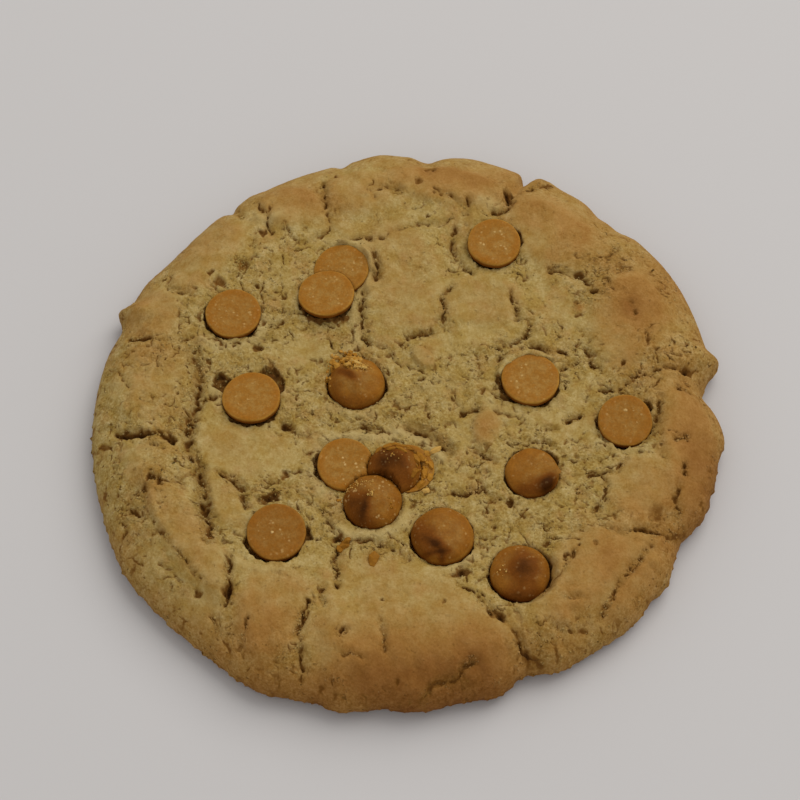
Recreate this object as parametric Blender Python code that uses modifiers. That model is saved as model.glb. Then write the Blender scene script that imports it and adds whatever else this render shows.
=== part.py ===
"""A salted caramel cookie: one round of cracked, baked dough with caramel drops sunk in its top.

Sizes are in millimetres here and become metres as each mesh is made. +Z is up, the cookie rests
on the plane z = 0, and the origin is under the middle of its outline.
"""

import math

import bmesh
import bpy
import numpy as np
from mathutils import Matrix, Vector, noise

MM = 0.001

# Driving sizes of the baked round
RADIUS = 52.3
THICKNESS = 8.9
OUTLINE_CENTRE = (-0.36, -0.28)
OVAL = 0.85
OVAL_TURN = 45.0

# The rim: the height where it is widest, and how far in its shoulder reaches
WIDEST_HEIGHT = 2.6
SHOULDER = 8.5
RIM_SWELL = 0.9
RIM_SWELL_INSET = 11.0
RIM_SWELL_SPREAD = 6.0
MIDDLE_DIP = 0.7
MIDDLE_DIP_SPREAD = 24.0

# Under the widest line the side tucks in to the flat base: (height, inset) of each loop
TUCK = ((1.5, 0.3), (0.6, 1.0), (0.0, 2.2))

# Lobes and nicks of the edge: (angle in degrees, reach outwards, half width in degrees)
EDGE_LOBES = (
    (4.8, -2.35, 3.6),
    (11.5, 1.6, 2.0),
    (30.0, 0.6, 11.0),
    (44.5, -0.9, 2.2),
    (49.0, -1.0, 3.0),
    (62.3, 0.5, 2.5),
    (65.4, -2.4, 1.2),
    (77.0, 0.6, 5.0),
    (85.5, -1.3, 2.4),
    (95.0, 0.8, 4.0),
    (102.6, -0.7, 1.4),
    (122.0, 0.4, 2.0),
    (127.0, -0.9, 1.3),
    (140.0, -0.6, 9.0),
    (150.0, 0.4, 4.0),
    (157.5, 1.6, 1.8),
    (161.5, -0.6, 3.0),
    (212.0, 0.7, 8.0),
    (243.5, 1.2, 5.5),
    (258.5, 0.6, 2.5),
    (266.0, -0.6, 2.5),
    (280.0, -0.6, 5.0),
    (292.5, -1.9, 3.8),
    (314.0, 0.7, 7.0),
    (324.0, 0.6, 2.5),
    (332.5, -1.15, 4.2),
    (340.0, 0.65, 2.6),
    (346.0, 0.7, 5.0),
    (355.0, 1.2, 4.0),
)

# Smooth plates that stand up between the cracks: (x, y, half length, half width, turn in degrees, rise).
# Each is flat in the middle and slopes down over the outer part of its oval.
PLATE_FLAT_SHARE = 0.75
PLATE_FOOT_SHARE = 1.25
PLATES = (
    (-1.2, 24.5, 10.5, 7.0, 95.0, 0.7),
    (-0.5, -41.0, 16.0, 12.0, -25.0, 1.0),
    (46.5, -9.5, 12.5, 4.5, 95.0, 0.8),
    (-43.0, 4.0, 8.5, 6.5, 90.0, 0.7),
    (-43.0, 17.0, 5.0, 4.5, 60.0, 0.4),
    (-42.5, -10.0, 5.5, 4.5, 90.0, 0.6),
    (-36.0, -24.0, 12.5, 3.6, -58.0, 1.1),
    (-30.0, -17.5, 6.0, 2.6, -65.0, 0.5),
    (-27.0, -9.0, 7.5, 5.0, 0.0, 0.4),
    (-21.5, -37.5, 8.5, 5.5, 80.0, 0.7),
    (12.0, 20.0, 7.0, 5.0, 0.0, 0.4),
    (24.5, 33.0, 8.0, 6.0, -40.0, 0.6),
    (37.0, 16.0, 9.5, 6.0, 75.0, 0.6),
    (38.0, -16.0, 6.5, 5.5, 0.0, 0.5),
    (27.0, -31.5, 9.0, 5.0, 50.0, 0.6),
    (36.5, -34.5, 8.0, 3.0, 55.0, 0.7),
    (-20.5, 38.5, 5.5, 4.5, -15.0, 0.7),
    (-34.5, 28.5, 8.5, 4.5, 55.0, 0.5),
    (6.0, 43.0, 9.0, 4.0, -10.0, 0.7),
    (-8.5, 41.5, 5.5, 4.5, 0.0, 0.5),
    (13.0, -4.6, 3.2, 2.2, 80.0, 0.7),
    (2.6, 8.8, 2.6, 1.4, -50.0, 0.9),
)

# Cracks that opened as the dough spread: (kind, route). They wander off the straight runs of their
# routes by up to about this much.
CRACK_WANDER = 0.4
CRACK_WANDER_SIZE = 4.5
# The half width and the depth of each kind
CRACK_KINDS = {
    "wide": (1.0, 2.0),
    "clear": (0.9, 1.6),
    "open": (0.8, 1.3),
    "thin": (0.6, 0.8),
    "deep": (1.3, 1.8),
}
CRACKS = (
    # Top left
    ("open", ((-26.2, 40.0), (-25.2, 37.8), (-24.3, 36.5), (-24.4, 34.3), (-23.4, 32.4))),
    ("thin", ((-23.4, 38.8), (-24.3, 36.5))),
    ("thin", ((-26.0, 33.1), (-26.6, 30.4), (-26.5, 28.2))),
    ("open", ((-29.5, 39.3), (-28.7, 36.7))),
    ("thin", ((-26.5, 28.2), (-28.1, 25.5), (-29.6, 23.7))),
    ("thin", ((-23.4, 32.4), (-21.3, 33.5), (-19.6, 31.6))),
    ("thin", ((-19.6, 31.6), (-18.0, 30.7), (-16.5, 31.3), (-14.5, 32.7), (-13.3, 33.9))),
    ("open", ((-14.8, 43.2), (-14.2, 40.5), (-14.2, 38.6), (-13.7, 36.7))),
    ("thin", ((-13.7, 36.7), (-13.3, 33.9))),
    ("open", ((-11.2, 31.3), (-9.5, 31.7), (-7.3, 31.9), (-6.2, 31.2))),
    (
        "thin",
        (
            (-7.3, 31.9), (-4.2, 31.8), (-3.2, 32.9), (-0.8, 33.9),
            (1.3, 34.5), (3.0, 35.1), (5.6, 34.9), (7.8, 36.0),
        ),
    ),
    # Round the middle plate
    ("clear", ((-6.1, 29.4), (-5.4, 27.2), (-5.0, 25.3), (-5.2, 23.9))),
    ("clear", ((-7.4, 21.1), (-7.9, 18.8), (-8.0, 16.2), (-7.7, 13.4), (-6.8, 11.8))),
    ("thin", ((-6.8, 11.8), (-5.1, 11.4), (-3.6, 10.3), (-2.6, 8.2), (-1.1, 7.4))),
    ("open", ((8.2, 33.9), (7.8, 32.0), (7.6, 30.0), (8.5, 28.2), (9.3, 26.2), (11.0, 25.4))),
    ("open", ((7.2, 22.3), (5.7, 20.1), (6.5, 17.8), (5.8, 15.3))),
    ("thin", ((5.8, 15.3), (4.1, 13.9))),
    ("clear", ((4.1, 13.9), (2.1, 13.6), (-0.1, 12.8))),
    # Top right
    ("clear", ((17.2, 41.4), (17.5, 39.2), (16.8, 37.3), (14.7, 36.6))),
    ("clear", ((21.1, 42.3), (23.1, 43.4), (25.1, 44.1))),
    ("thin", ((4.8, 40.6), (7.3, 39.8), (9.1, 38.6))),
    ("open", ((10.3, 39.4), (9.9, 36.7))),
    ("thin", ((-5.6, 40.0), (-6.1, 41.7), (-3.0, 42.1), (-0.8, 41.2))),
    ("thin", ((23.9, 25.4), (26.4, 24.9), (28.1, 24.1))),
    ("open", ((28.1, 24.1), (29.8, 23.6), (30.9, 22.6))),
    ("clear", ((30.5, 21.1), (32.9, 21.1), (34.0, 22.6))),
    ("open", ((35.6, 25.6), (38.0, 25.7))),
    ("thin", ((35.3, 30.0), (33.9, 26.8))),
    ("thin", ((40.9, 12.8), (40.0, 10.4))),
    ("thin", ((37.5, 18.6), (38.1, 16.5))),
    # Round the upper right drop
    ("open", ((17.5, 20.9), (18.2, 18.7), (18.4, 15.8))),
    ("clear", ((20.8, 15.4), (19.5, 12.7), (17.3, 11.3), (15.0, 10.6))),
    ("clear", ((20.5, 11.3), (23.3, 9.5))),
    ("open", ((28.1, 7.6), (25.9, 6.6))),
    # Right
    ("open", ((29.7, 10.4), (30.6, 8.3), (31.1, 6.7), (32.2, 6.3))),
    ("clear", ((32.4, 2.1), (34.7, 2.4), (36.6, 3.4))),
    ("open", ((37.9, 4.6), (40.8, 5.4), (43.8, 6.5))),
    ("open", ((43.8, 6.5), (46.4, 6.2), (48.4, 7.0), (49.3, 5.0))),
    ("clear", ((45.1, 2.5), (46.8, 2.1))),
    ("open", ((41.9, 0.7), (41.2, -2.1), (40.3, -4.9), (38.9, -7.2))),
    ("open", ((15.4, 8.7), (14.7, 6.9))),
    # Middle
    ("thin", ((6.5, 3.0), (7.5, 0.9), (8.5, -1.0))),
    ("wide", ((8.8, -1.9), (10.1, -1.7), (11.5, -1.2))),
    ("wide", ((26.3, -3.1), (28.3, -2.5))),
    ("thin", ((22.6, -4.7), (24.4, -4.7))),
    ("deep", ((0.4, -4.5), (2.2, -5.4), (3.8, -6.4), (5.3, -7.5), (6.8, -8.5))),
    ("open", ((-10.7, -5.1), (-8.5, -4.5), (-6.7, -4.7), (-4.9, -5.3), (-2.9, -5.3))),
    ("wide", ((-20.6, -3.7), (-19.4, -4.5))),
    ("thin", ((-19.4, -4.5), (-18.2, -5.8), (-16.9, -6.3))),
    ("open", ((11.3, -9.4), (12.6, -10.0), (14.1, -11.0))),
    ("open", ((17.3, -7.8), (19.1, -7.5), (20.9, -7.5), (23.0, -7.5))),
    ("clear", ((7.5, -16.5), (9.3, -17.0), (11.1, -16.5))),
    ("open", ((11.1, -16.5), (12.2, -15.8), (13.3, -17.3), (14.5, -18.2))),
    ("thin", ((14.5, -18.2), (16.2, -18.7), (17.5, -18.6))),
    # Lower right
    ("open", ((29.2, -14.0), (31.8, -13.5), (34.1, -13.5), (35.3, -11.5))),
    ("open", ((31.8, -14.1), (32.3, -16.4), (31.4, -18.8), (29.7, -20.5))),
    ("thin", ((29.7, -20.5), (30.9, -22.8), (32.8, -24.0), (34.5, -24.6), (36.7, -23.7))),
    ("wide", ((36.7, -23.7), (39.0, -23.7), (41.2, -23.3), (42.9, -23.7))),
    ("wide", ((42.9, -23.7), (45.0, -21.9))),
    ("open", ((43.5, -7.6), (46.0, -7.2))),
    ("clear", ((45.0, -11.8), (44.9, -13.4))),
    ("clear", ((44.3, -15.5), (43.7, -17.6), (44.0, -19.7))),
    ("open", ((38.9, -26.3), (37.2, -28.5), (35.9, -30.4), (34.2, -32.3), (33.2, -34.0))),
    ("open", ((36.2, -28.9), (34.5, -31.8), (33.0, -34.3), (31.7, -36.6), (30.4, -38.4))),
    ("open", ((22.9, -40.3), (24.5, -40.8), (26.1, -40.8), (28.2, -40.4))),
    ("thin", ((25.2, -35.8), (27.6, -35.7))),
    ("thin", ((26.4, -28.2), (25.5, -30.2), (24.4, -31.9), (22.4, -34.0))),
    ("open", ((8.0, -33.6), (9.2, -34.3), (10.5, -35.3), (11.9, -36.8))),
    ("open", ((11.9, -36.8), (13.3, -38.4))),
    ("thin", ((14.5, -39.4), (16.5, -40.9), (17.5, -42.7))),
    ("wide", ((17.5, -42.7), (18.3, -44.1), (19.5, -44.5), (21.3, -45.4))),
    ("open", ((22.6, -42.4), (23.1, -43.4), (23.7, -44.3))),
    # Bottom
    (
        "wide",
        ((2.2, -51.4), (3.1, -50.5), (4.1, -49.6), (6.1, -49.1), (8.1, -48.7), (8.6, -47.4), (10.0, -46.3)),
    ),
    ("clear", ((8.5, -48.6), (9.1, -49.7))),
    ("open", ((-11.2, -26.7), (-10.0, -25.8), (-8.2, -25.4), (-5.6, -25.4), (-2.9, -26.5))),
    ("clear", ((-2.9, -26.5), (-1.6, -27.4), (0.0, -29.0))),
    ("thin", ((-18.0, -16.4), (-15.9, -18.7), (-14.2, -20.0), (-13.1, -21.5), (-11.4, -25.1))),
    ("open", ((-11.2, -26.7), (-11.7, -28.5), (-12.0, -29.9))),
    ("clear", ((-11.8, -29.6), (-11.2, -31.4), (-11.3, -34.1))),
    ("open", ((-13.5, -34.0), (-14.0, -35.1), (-13.5, -37.1))),
    ("wide", ((-16.0, -36.4), (-16.6, -38.7), (-17.2, -40.6), (-17.5, -42.2))),
    ("thin", ((-17.5, -42.2), (-16.9, -43.9), (-16.5, -45.0))),
    ("clear", ((-16.7, -44.7), (-16.7, -46.3), (-16.4, -47.7), (-16.5, -48.7))),
    ("clear", ((-11.0, -42.2), (-10.1, -41.7))),
    ("thin", ((-10.2, -46.0), (-8.7, -45.8), (-6.9, -46.3))),
    ("thin", ((-4.4, -40.5), (-3.8, -42.7), (-3.9, -45.0))),
    # Left
    ("wide", ((-46.5, 13.0), (-44.9, 12.3), (-43.3, 11.8))),
    ("open", ((-43.3, 11.8), (-41.1, 11.6), (-39.4, 11.4), (-38.1, 11.6), (-36.1, 12.3))),
    ("deep", ((-36.0, 9.7), (-35.5, 7.6), (-35.1, 5.4), (-34.8, 3.0), (-34.6, 0.5))),
    ("deep", ((-34.6, 0.5), (-35.1, -1.2), (-35.9, -3.3), (-36.3, -6.0))),
    ("wide", ((-47.9, -5.7), (-46.1, -6.1), (-44.8, -5.9), (-43.4, -6.4), (-42.0, -6.3))),
    ("wide", ((-40.6, -6.4), (-39.1, -7.1), (-38.5, -7.3))),
    ("wide", ((-50.8, -7.2), (-49.0, -7.6))),
    ("deep", ((-36.3, -5.0), (-36.2, -7.5), (-35.6, -10.5), (-34.7, -11.7))),
    ("deep", ((-34.2, -12.6), (-33.8, -14.8), (-33.4, -17.1), (-33.3, -19.1))),
    ("deep", ((-33.3, -19.1), (-32.6, -21.5), (-32.0, -23.5), (-31.8, -25.5))),
    ("clear", ((-41.9, -14.7), (-40.2, -15.7), (-38.5, -15.3), (-36.9, -14.8))),
    ("open", ((-41.9, -14.7), (-42.7, -16.4), (-42.7, -18.5))),
    ("thin", ((-42.7, -19.9), (-41.3, -22.1), (-39.6, -24.5))),
    ("thin", ((-39.6, -24.5), (-37.7, -27.0), (-36.3, -28.6), (-34.8, -30.4), (-33.1, -32.8))),
    ("clear", ((-46.8, -19.3), (-45.0, -19.9), (-43.2, -20.6))),
    ("open", ((-46.2, -21.1), (-45.8, -23.5), (-46.7, -24.6))),
    ("clear", ((-49.9, -14.8), (-49.3, -16.5))),
    ("clear", ((-30.9, -13.4), (-29.6, -14.3), (-28.1, -15.0))),
    ("wide", ((-28.1, -15.0), (-26.9, -16.6))),
    ("open", ((-26.7, -17.7), (-26.0, -19.6))),
    ("clear", ((-28.9, -28.7), (-28.9, -30.7), (-28.6, -33.0), (-28.4, -34.9), (-29.2, -37.2))),
    ("thin", ((-30.9, -38.5), (-30.0, -40.4), (-29.0, -42.1), (-27.6, -44.2))),
    ("thin", ((-25.5, -39.4), (-26.1, -41.6), (-26.6, -43.6))),
    ("thin", ((-39.8, -29.3), (-38.1, -30.2), (-36.2, -32.5))),
    ("clear", ((-33.6, 0.6), (-32.1, 1.0))),
    ("thin", ((-40.4, 24.5), (-40.6, 22.4), (-38.7, 21.0), (-36.1, 20.2))),
    ("open", ((-20.2, 16.7), (-21.3, 15.3), (-22.8, 14.4))),
)

# Folds of dough that stand up beside the cracks and round the drops: (height, half width, route)
FOLDS = (
    (0.75, 0.8, ((-12.6, 31.1), (-9.8, 31.3), (-7.8, 31.0), (-6.6, 28.8), (-6.2, 26.0), (-6.9, 23.1))),
    (0.5, 0.8, ((-6.9, 23.1), (-8.4, 20.1), (-9.4, 18.0), (-9.0, 14.9), (-8.5, 12.4), (-9.7, 9.7))),
    (0.6, 0.8, ((-3.3, -5.6), (-1.3, -5.1), (0.7, -5.8), (2.7, -7.0), (4.3, -8.5), (5.3, -10.3))),
    (0.35, 0.8, ((-13.6, -6.5), (-11.1, -6.3), (-8.5, -6.0), (-5.9, -6.2), (-3.3, -5.6))),
    (0.35, 0.7, ((-34.3, 11.9), (-31.9, 10.7), (-29.1, 10.4), (-26.4, 11.4), (-24.5, 13.4), (-24.0, 16.1))),
    (0.35, 0.7, ((-32.5, 2.9), (-32.1, 1.8), (-31.6, 0.3))),
    (0.4, 0.9, ((-11.0, -23.3), (-9.3, -24.5), (-6.8, -24.3), (-3.9, -24.1), (-1.3, -22.5), (0.3, -20.3))),
    (0.35, 0.8, ((7.0, -30.1), (9.0, -29.6), (10.4, -28.3))),
    (0.4, 0.8, ((-26.4, 36.2), (-24.1, 35.1), (-21.7, 36.6))),
    (0.4, 0.8, ((12.9, 39.4), (14.6, 38.2))),
    (0.3, 0.7, ((-14.7, -8.6), (-15.5, -11.2), (-15.6, -14.1), (-14.0, -16.3))),
    (0.3, 0.6, ((-12.9, -0.3), (-10.9, -1.7), (-7.9, -2.3), (-5.3, -1.3))),
    (0.25, 0.6, ((-1.3, 1.0), (1.2, 2.1), (3.4, 3.6), (4.9, 5.1))),
    (0.25, 0.7, ((-29.3, -28.9), (-27.2, -29.8), (-23.9, -30.8), (-20.4, -30.6))),
    (0.3, 0.7, ((31.5, -7.3), (33.9, -8.9), (36.7, -9.3), (39.0, -8.5))),
    (0.25, 0.6, ((12.0, 1.3), (15.3, -1.4), (19.4, -2.6), (23.2, -1.5), (25.2, 1.1))),
)

# Open holes in the crust: (x, y, half length, half width, turn in degrees, depth)
HOLES = (
    (-25.1, 10.3, 0.7, 0.5, 0.0, 1.3),
    (25.8, 9.5, 0.75, 0.45, 0.0, 1.6),
    (29.1, 17.0, 0.5, 0.5, 0.0, 1.0),
    (-20.0, -13.3, 0.9, 0.6, 20.0, 1.1),
    (-22.5, -17.7, 1.8, 0.9, 30.0, 1.7),
    (8.5, -31.4, 1.3, 0.9, 10.0, 1.6),
    (13.9, -38.9, 1.3, 1.0, 0.0, 1.6),
    (40.2, -21.4, 1.3, 0.8, 20.0, 0.7),
    (3.9, 46.4, 0.9, 0.7, 0.0, 1.0),
    (2.2, 42.9, 0.6, 0.8, 0.0, 0.9),
    (-33.4, -34.8, 0.6, 0.6, 0.0, 1.0),
    (17.5, 40.1, 0.8, 1.6, 0.0, 1.2),
    (-24.9, 32.6, 0.7, 0.5, 0.0, 1.0),
    (-13.9, -50.1, 0.6, 0.5, 0.0, 0.9),
    (-17.8, -47.0, 0.6, 0.5, 0.0, 1.0),
    (-11.3, -24.9, 0.9, 0.7, 0.0, 1.5),
    (-28.6, -34.5, 0.8, 1.2, 0.0, 1.2),
    (46.4, 6.2, 0.8, 0.9, 0.0, 1.3),
    (-30.9, 22.3, 0.7, 0.5, 0.0, 0.8),
    (-32.8, 22.2, 0.6, 0.5, 0.0, 0.8),
    (-1.6, -49.5, 0.5, 0.5, 0.0, 0.9),
    (-44.6, -6.3, 2.9, 0.9, 0.0, 1.3),
    (-39.0, -7.1, 0.9, 0.8, 0.0, 1.3),
    (18.7, -44.4, 1.1, 0.8, -40.0, 1.3),
    (22.3, -26.2, 0.5, 0.4, 0.0, 1.0),
    (25.1, -29.4, 0.35, 0.35, 0.0, 0.9),
    (13.7, -23.6, 0.4, 0.4, 0.0, 0.7),
    (13.1, -30.0, 0.35, 0.35, 0.0, 0.7),
    (11.9, -26.7, 0.4, 0.35, 0.0, 0.8),
    (17.2, -26.0, 0.4, 0.3, 0.0, 0.7),
    (27.2, -26.9, 0.35, 0.3, 0.0, 0.7),
    (30.3, -26.8, 0.4, 0.3, 0.0, 0.7),
    (-14.6, 7.9, 0.35, 0.5, 0.0, 0.8),
    (-12.7, 11.4, 0.3, 0.4, 0.0, 0.7),
    (-25.4, 22.0, 0.4, 0.4, 0.0, 0.7),
    (-21.1, 20.2, 0.5, 0.4, 0.0, 0.8),
    (-34.9, 16.2, 0.5, 1.1, 0.0, 0.9),
    (-4.0, -36.6, 0.5, 0.25, 0.0, 0.6),
)

# Caramel drops lying with the flat base up: name -> (x, y, base radius, top height, tilt x, tilt y)
FLAT_DROPS = {
    "drop_left_upper": (-29.4, 16.75, 4.7, 9.9, 0.0, 1.0),
    "drop_pair_lower": (-13.75, 20.4, 4.75, 10.3, -6.0, -3.0),
    "drop_pair_upper": (-11.25, 25.8, 4.7, 9.5, 1.0, -4.0),
    "drop_top_right": (14.8, 30.6, 4.55, 10.3, 4.0, 1.0),
    "drop_left_middle": (-25.9, 0.7, 4.85, 9.7, -4.0, -1.0),
    "drop_right_upper": (20.4, 4.2, 4.85, 9.7, 0.0, 1.0),
    "drop_right_outer": (35.8, -3.8, 4.5, 9.9, 7.0, 2.0),
    "drop_centre_flat": (-10.2, -11.6, 4.6, 9.2, 5.0, 1.0),
    "drop_left_lower": (-21.2, -24.2, 4.8, 9.8, 7.0, 2.0),
    "drop_centre_under": (0.0, -12.2, 4.4, 8.9, 0.0, 6.0),
}

# Caramel drops with the point up: name -> (x, y, base radius, base height, tip height, tip offset x, y)
POINTED_DROPS = {
    "drop_crumbled": (-8.5, 4.15, 4.8, 8.3, 2.4, -0.4, 0.6),
    "drop_centre_dark": (-2.2, -12.4, 4.45, 9.2, 2.2, 0.8, 1.4),
    "drop_centre_front": (-5.7, -18.2, 4.8, 8.9, 2.4, -0.2, 0.4),
    "drop_right_leaning": (20.3, -13.0, 4.45, 9.0, 1.7, 3.4, -1.0),
    "drop_lower_middle": (5.6, -24.5, 5.1, 9.1, 1.9, -0.8, -2.2),
    "drop_lower_right": (17.9, -31.1, 4.9, 9.1, 1.8, 0.9, 0.4),
}

# Where one drop lies over another, the lower one is pressed in round it
PRESSED_BY = {
    "drop_pair_upper": ("drop_pair_lower",),
    "drop_centre_dark": ("drop_centre_front",),
    "drop_centre_flat": ("drop_centre_front", "drop_centre_dark"),
    "drop_centre_under": ("drop_centre_front", "drop_centre_dark"),
}

# A flat drop's side, from its base down to its point: (share of radius, depth)
FLAT_SIDE = ((0.0, 0.0), (0.86, -0.05), (0.98, -0.45), (1.0, -1.0), (0.86, -1.9), (0.5, -3.1), (0.0, -4.2))
FLAT_POCKET_SIDE = ((0.0, 0.0), (1.0, 0.0), (1.0, -1.0), (0.86, -1.9), (0.5, -3.1), (0.0, -4.2))
# A pointed drop's side, from its point down to its base: (share of radius, share of tip height)
POINTED_SIDE = (
    (0.0, 1.0),
    (0.12, 0.955),
    (0.32, 0.83),
    (0.56, 0.65),
    (0.79, 0.375),
    (0.94, 0.03),
    (1.0, -0.5),
    (0.95, -0.95),
    (0.0, -0.97),
)
TIP_LEAN_POWER = 1.6
DROP_STEPS = 20
POCKET_STEPS = 16

# The gap between a drop and its pocket, and the bank of crust round it: how far its foot lies under
# the drop's edge, how far it reaches out, how steep it is, and where it starts to fade
GAP = 0.32
FLAT_BANK_SINK = 0.45
POINTED_BANK_SINK = 0.95
BANK_REACH = 1.5
BANK_SLOPE = 1.0
BANK_FADE = 0.5

# Unevenness of the crust: height, size and noise layer of the broad waves and of the small lumps
UNDULATION = 0.35
UNDULATION_SIZE = 13.0
UNDULATION_LAYER = 1.5
LUMP = 0.28
LUMP_SIZE = 4.2
LUMP_LAYER = 4.5
WANDER_LAYERS = (7.5, 9.5)

# The mesh of the round: cells across its top, how much finer they get at the rim, and the share
# of its faces that stays, which leaves them where the crust is rough
CELLS = 200
RIM_FINER = 0.11
RIM_FINER_POWER = 6
FACES_KEPT = 0.088
BASE_FLATTEN = 0.05
MERGE_DISTANCE = 0.02
SMOOTH_ANGLE = 50.0

DOUGH_COLOUR = (0.36, 0.22, 0.075, 1.0)
DOUGH_ROUGHNESS = 0.85
CARAMEL_COLOUR = (0.32, 0.13, 0.03, 1.0)
CARAMEL_ROUGHNESS = 0.45


def clear_scene():
    for obj in list(bpy.data.objects):
        bpy.data.objects.remove(obj)


def new_collection(name):
    collection = bpy.data.collections.new(name)
    bpy.context.scene.collection.children.link(collection)
    return collection


def new_material(name, colour, roughness):
    material = bpy.data.materials.new(name)
    material.use_nodes = True
    shader = material.node_tree.nodes["Principled BSDF"]
    shader.inputs["Base Color"].default_value = colour
    shader.inputs["Roughness"].default_value = roughness
    shader.inputs["Metallic"].default_value = 0.0
    return material


def smooth_noise(x, y, size, layer):
    """Perlin noise, about -1 to 1, with lumps of this size. Each layer is a different pattern."""
    return np.array([noise.noise(Vector((a / size, b / size, layer))) for a, b in zip(x, y)])


def smooth_step(share):
    """Eases from 0 to 1 as the share goes from 0 to 1."""
    share = np.clip(share, 0.0, 1.0)
    return share * share * (3.0 - 2.0 * share)


def edge_radius(angle):
    """The outline's distance from its centre, at each angle in radians."""
    degrees = np.degrees(angle)
    radius = RADIUS + OVAL * np.cos(2 * np.radians(degrees - OVAL_TURN))
    for middle, reach, spread in EDGE_LOBES:
        away = (degrees - middle + 180.0) % 360.0 - 180.0
        radius = radius + reach * np.exp(-((away / spread) ** 2))
    return radius


def turned(x, y, middle_x, middle_y, turn):
    """The place of x, y as seen from a middle point, along axes turned by this many degrees."""
    c = math.cos(math.radians(turn))
    s = math.sin(math.radians(turn))
    dx = x - middle_x
    dy = y - middle_y
    return dx * c + dy * s, dy * c - dx * s


def distance_to_route(x, y, route):
    """The distance from each point to the nearest place on a route of straight runs."""
    nearest = np.full(x.shape, np.inf)
    for (ax, ay), (bx, by) in zip(route, route[1:]):
        run_x = bx - ax
        run_y = by - ay
        along = ((x - ax) * run_x + (y - ay) * run_y) / (run_x**2 + run_y**2)
        along = np.clip(along, 0.0, 1.0)
        nearest = np.minimum(nearest, np.hypot(x - ax - along * run_x, y - ay - along * run_y))
    return nearest


def relief(x, y):
    """How far the crust stands above or below the plain loaf of the round."""
    rise = UNDULATION * smooth_noise(x, y, UNDULATION_SIZE, UNDULATION_LAYER)
    rise = rise + LUMP * smooth_noise(x, y, LUMP_SIZE, LUMP_LAYER)
    for middle_x, middle_y, long, wide, turn, height in PLATES:
        u, v = turned(x, y, middle_x, middle_y, turn)
        down_slope = (PLATE_FOOT_SHARE - np.hypot(u / long, v / wide)) / (PLATE_FOOT_SHARE - PLATE_FLAT_SHARE)
        rise = rise + height * smooth_step(down_slope)
    wandered_x = x + CRACK_WANDER * smooth_noise(x, y, CRACK_WANDER_SIZE, WANDER_LAYERS[0])
    wandered_y = y + CRACK_WANDER * smooth_noise(x, y, CRACK_WANDER_SIZE, WANDER_LAYERS[1])
    opening = np.zeros(x.shape)
    for kind, route in CRACKS:
        half_width, depth = CRACK_KINDS[kind]
        away = distance_to_route(wandered_x, wandered_y, route) / half_width
        opening = np.maximum(opening, depth * np.exp(-(away**2)))
    fold = np.zeros(x.shape)
    for height, half_width, route in FOLDS:
        away = distance_to_route(x, y, route) / half_width
        fold = np.maximum(fold, height * np.exp(-(away**2)))
    rise = rise + fold
    for middle_x, middle_y, long, wide, turn, depth in HOLES:
        u, v = turned(x, y, middle_x, middle_y, turn)
        opening = opening + depth * np.exp(-((u / long) ** 2) - (v / wide) ** 2)
    return rise, opening


def drop_level(name, x, y):
    """The height of a drop's shown edge plane at each point, which is tilted on a flat drop."""
    if name in FLAT_DROPS:
        middle_x, middle_y, _, top, tilt_x, tilt_y = FLAT_DROPS[name]
        slope_x = math.tan(math.radians(tilt_x))
        slope_y = math.tan(math.radians(tilt_y))
        return top + (y - middle_y) * slope_x - (x - middle_x) * slope_y
    return np.full(x.shape, POINTED_DROPS[name][3])


def crust_height(x, y):
    """The height of the crust over each point inside the outline."""
    from_x = x - OUTLINE_CENTRE[0]
    from_y = y - OUTLINE_CENTRE[1]
    inset = np.maximum(edge_radius(np.arctan2(from_y, from_x)) - np.hypot(from_x, from_y), 0.0)
    share = np.clip(inset / SHOULDER, 0.0, 1.0)
    rounding = np.sqrt(1.0 - (1.0 - share) ** 2)
    loaf = THICKNESS + RIM_SWELL * np.exp(-(((inset - RIM_SWELL_INSET) / RIM_SWELL_SPREAD) ** 2))
    loaf = loaf - MIDDLE_DIP * np.exp(-((np.hypot(x, y) / MIDDLE_DIP_SPREAD) ** 2))
    rise, opening = relief(x, y)
    height = WIDEST_HEIGHT + (loaf + rise - WIDEST_HEIGHT) * rounding - opening * rounding**2
    for name, drop in (FLAT_DROPS | POINTED_DROPS).items():
        away = np.hypot(x - drop[0], y - drop[1]) - drop[2]
        sink = FLAT_BANK_SINK if name in FLAT_DROPS else POINTED_BANK_SINK
        bank = drop_level(name, x, y) - sink + BANK_SLOPE * np.clip(away, 0.0, BANK_REACH)
        near = np.clip(1.0 - (away - BANK_FADE) / (BANK_REACH - BANK_FADE), 0.0, 1.0)
        height = height + (np.minimum(height, bank) - height) * near
    return height


def square_to_round(u, v):
    """Carries the square -1..1 to the unit disc, keeping the size of its cells even."""
    share = np.maximum(np.abs(u), np.abs(v))
    flat = np.abs(u) >= np.abs(v)
    with np.errstate(divide="ignore", invalid="ignore"):
        angle = np.where(flat, math.pi / 4 * v / u, math.pi / 2 - math.pi / 4 * u / v)
    angle = np.where(share > 0.0, angle, 0.0)
    angle = np.where(np.where(flat, u, v) < 0.0, angle + math.pi, angle)
    return share, angle


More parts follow.
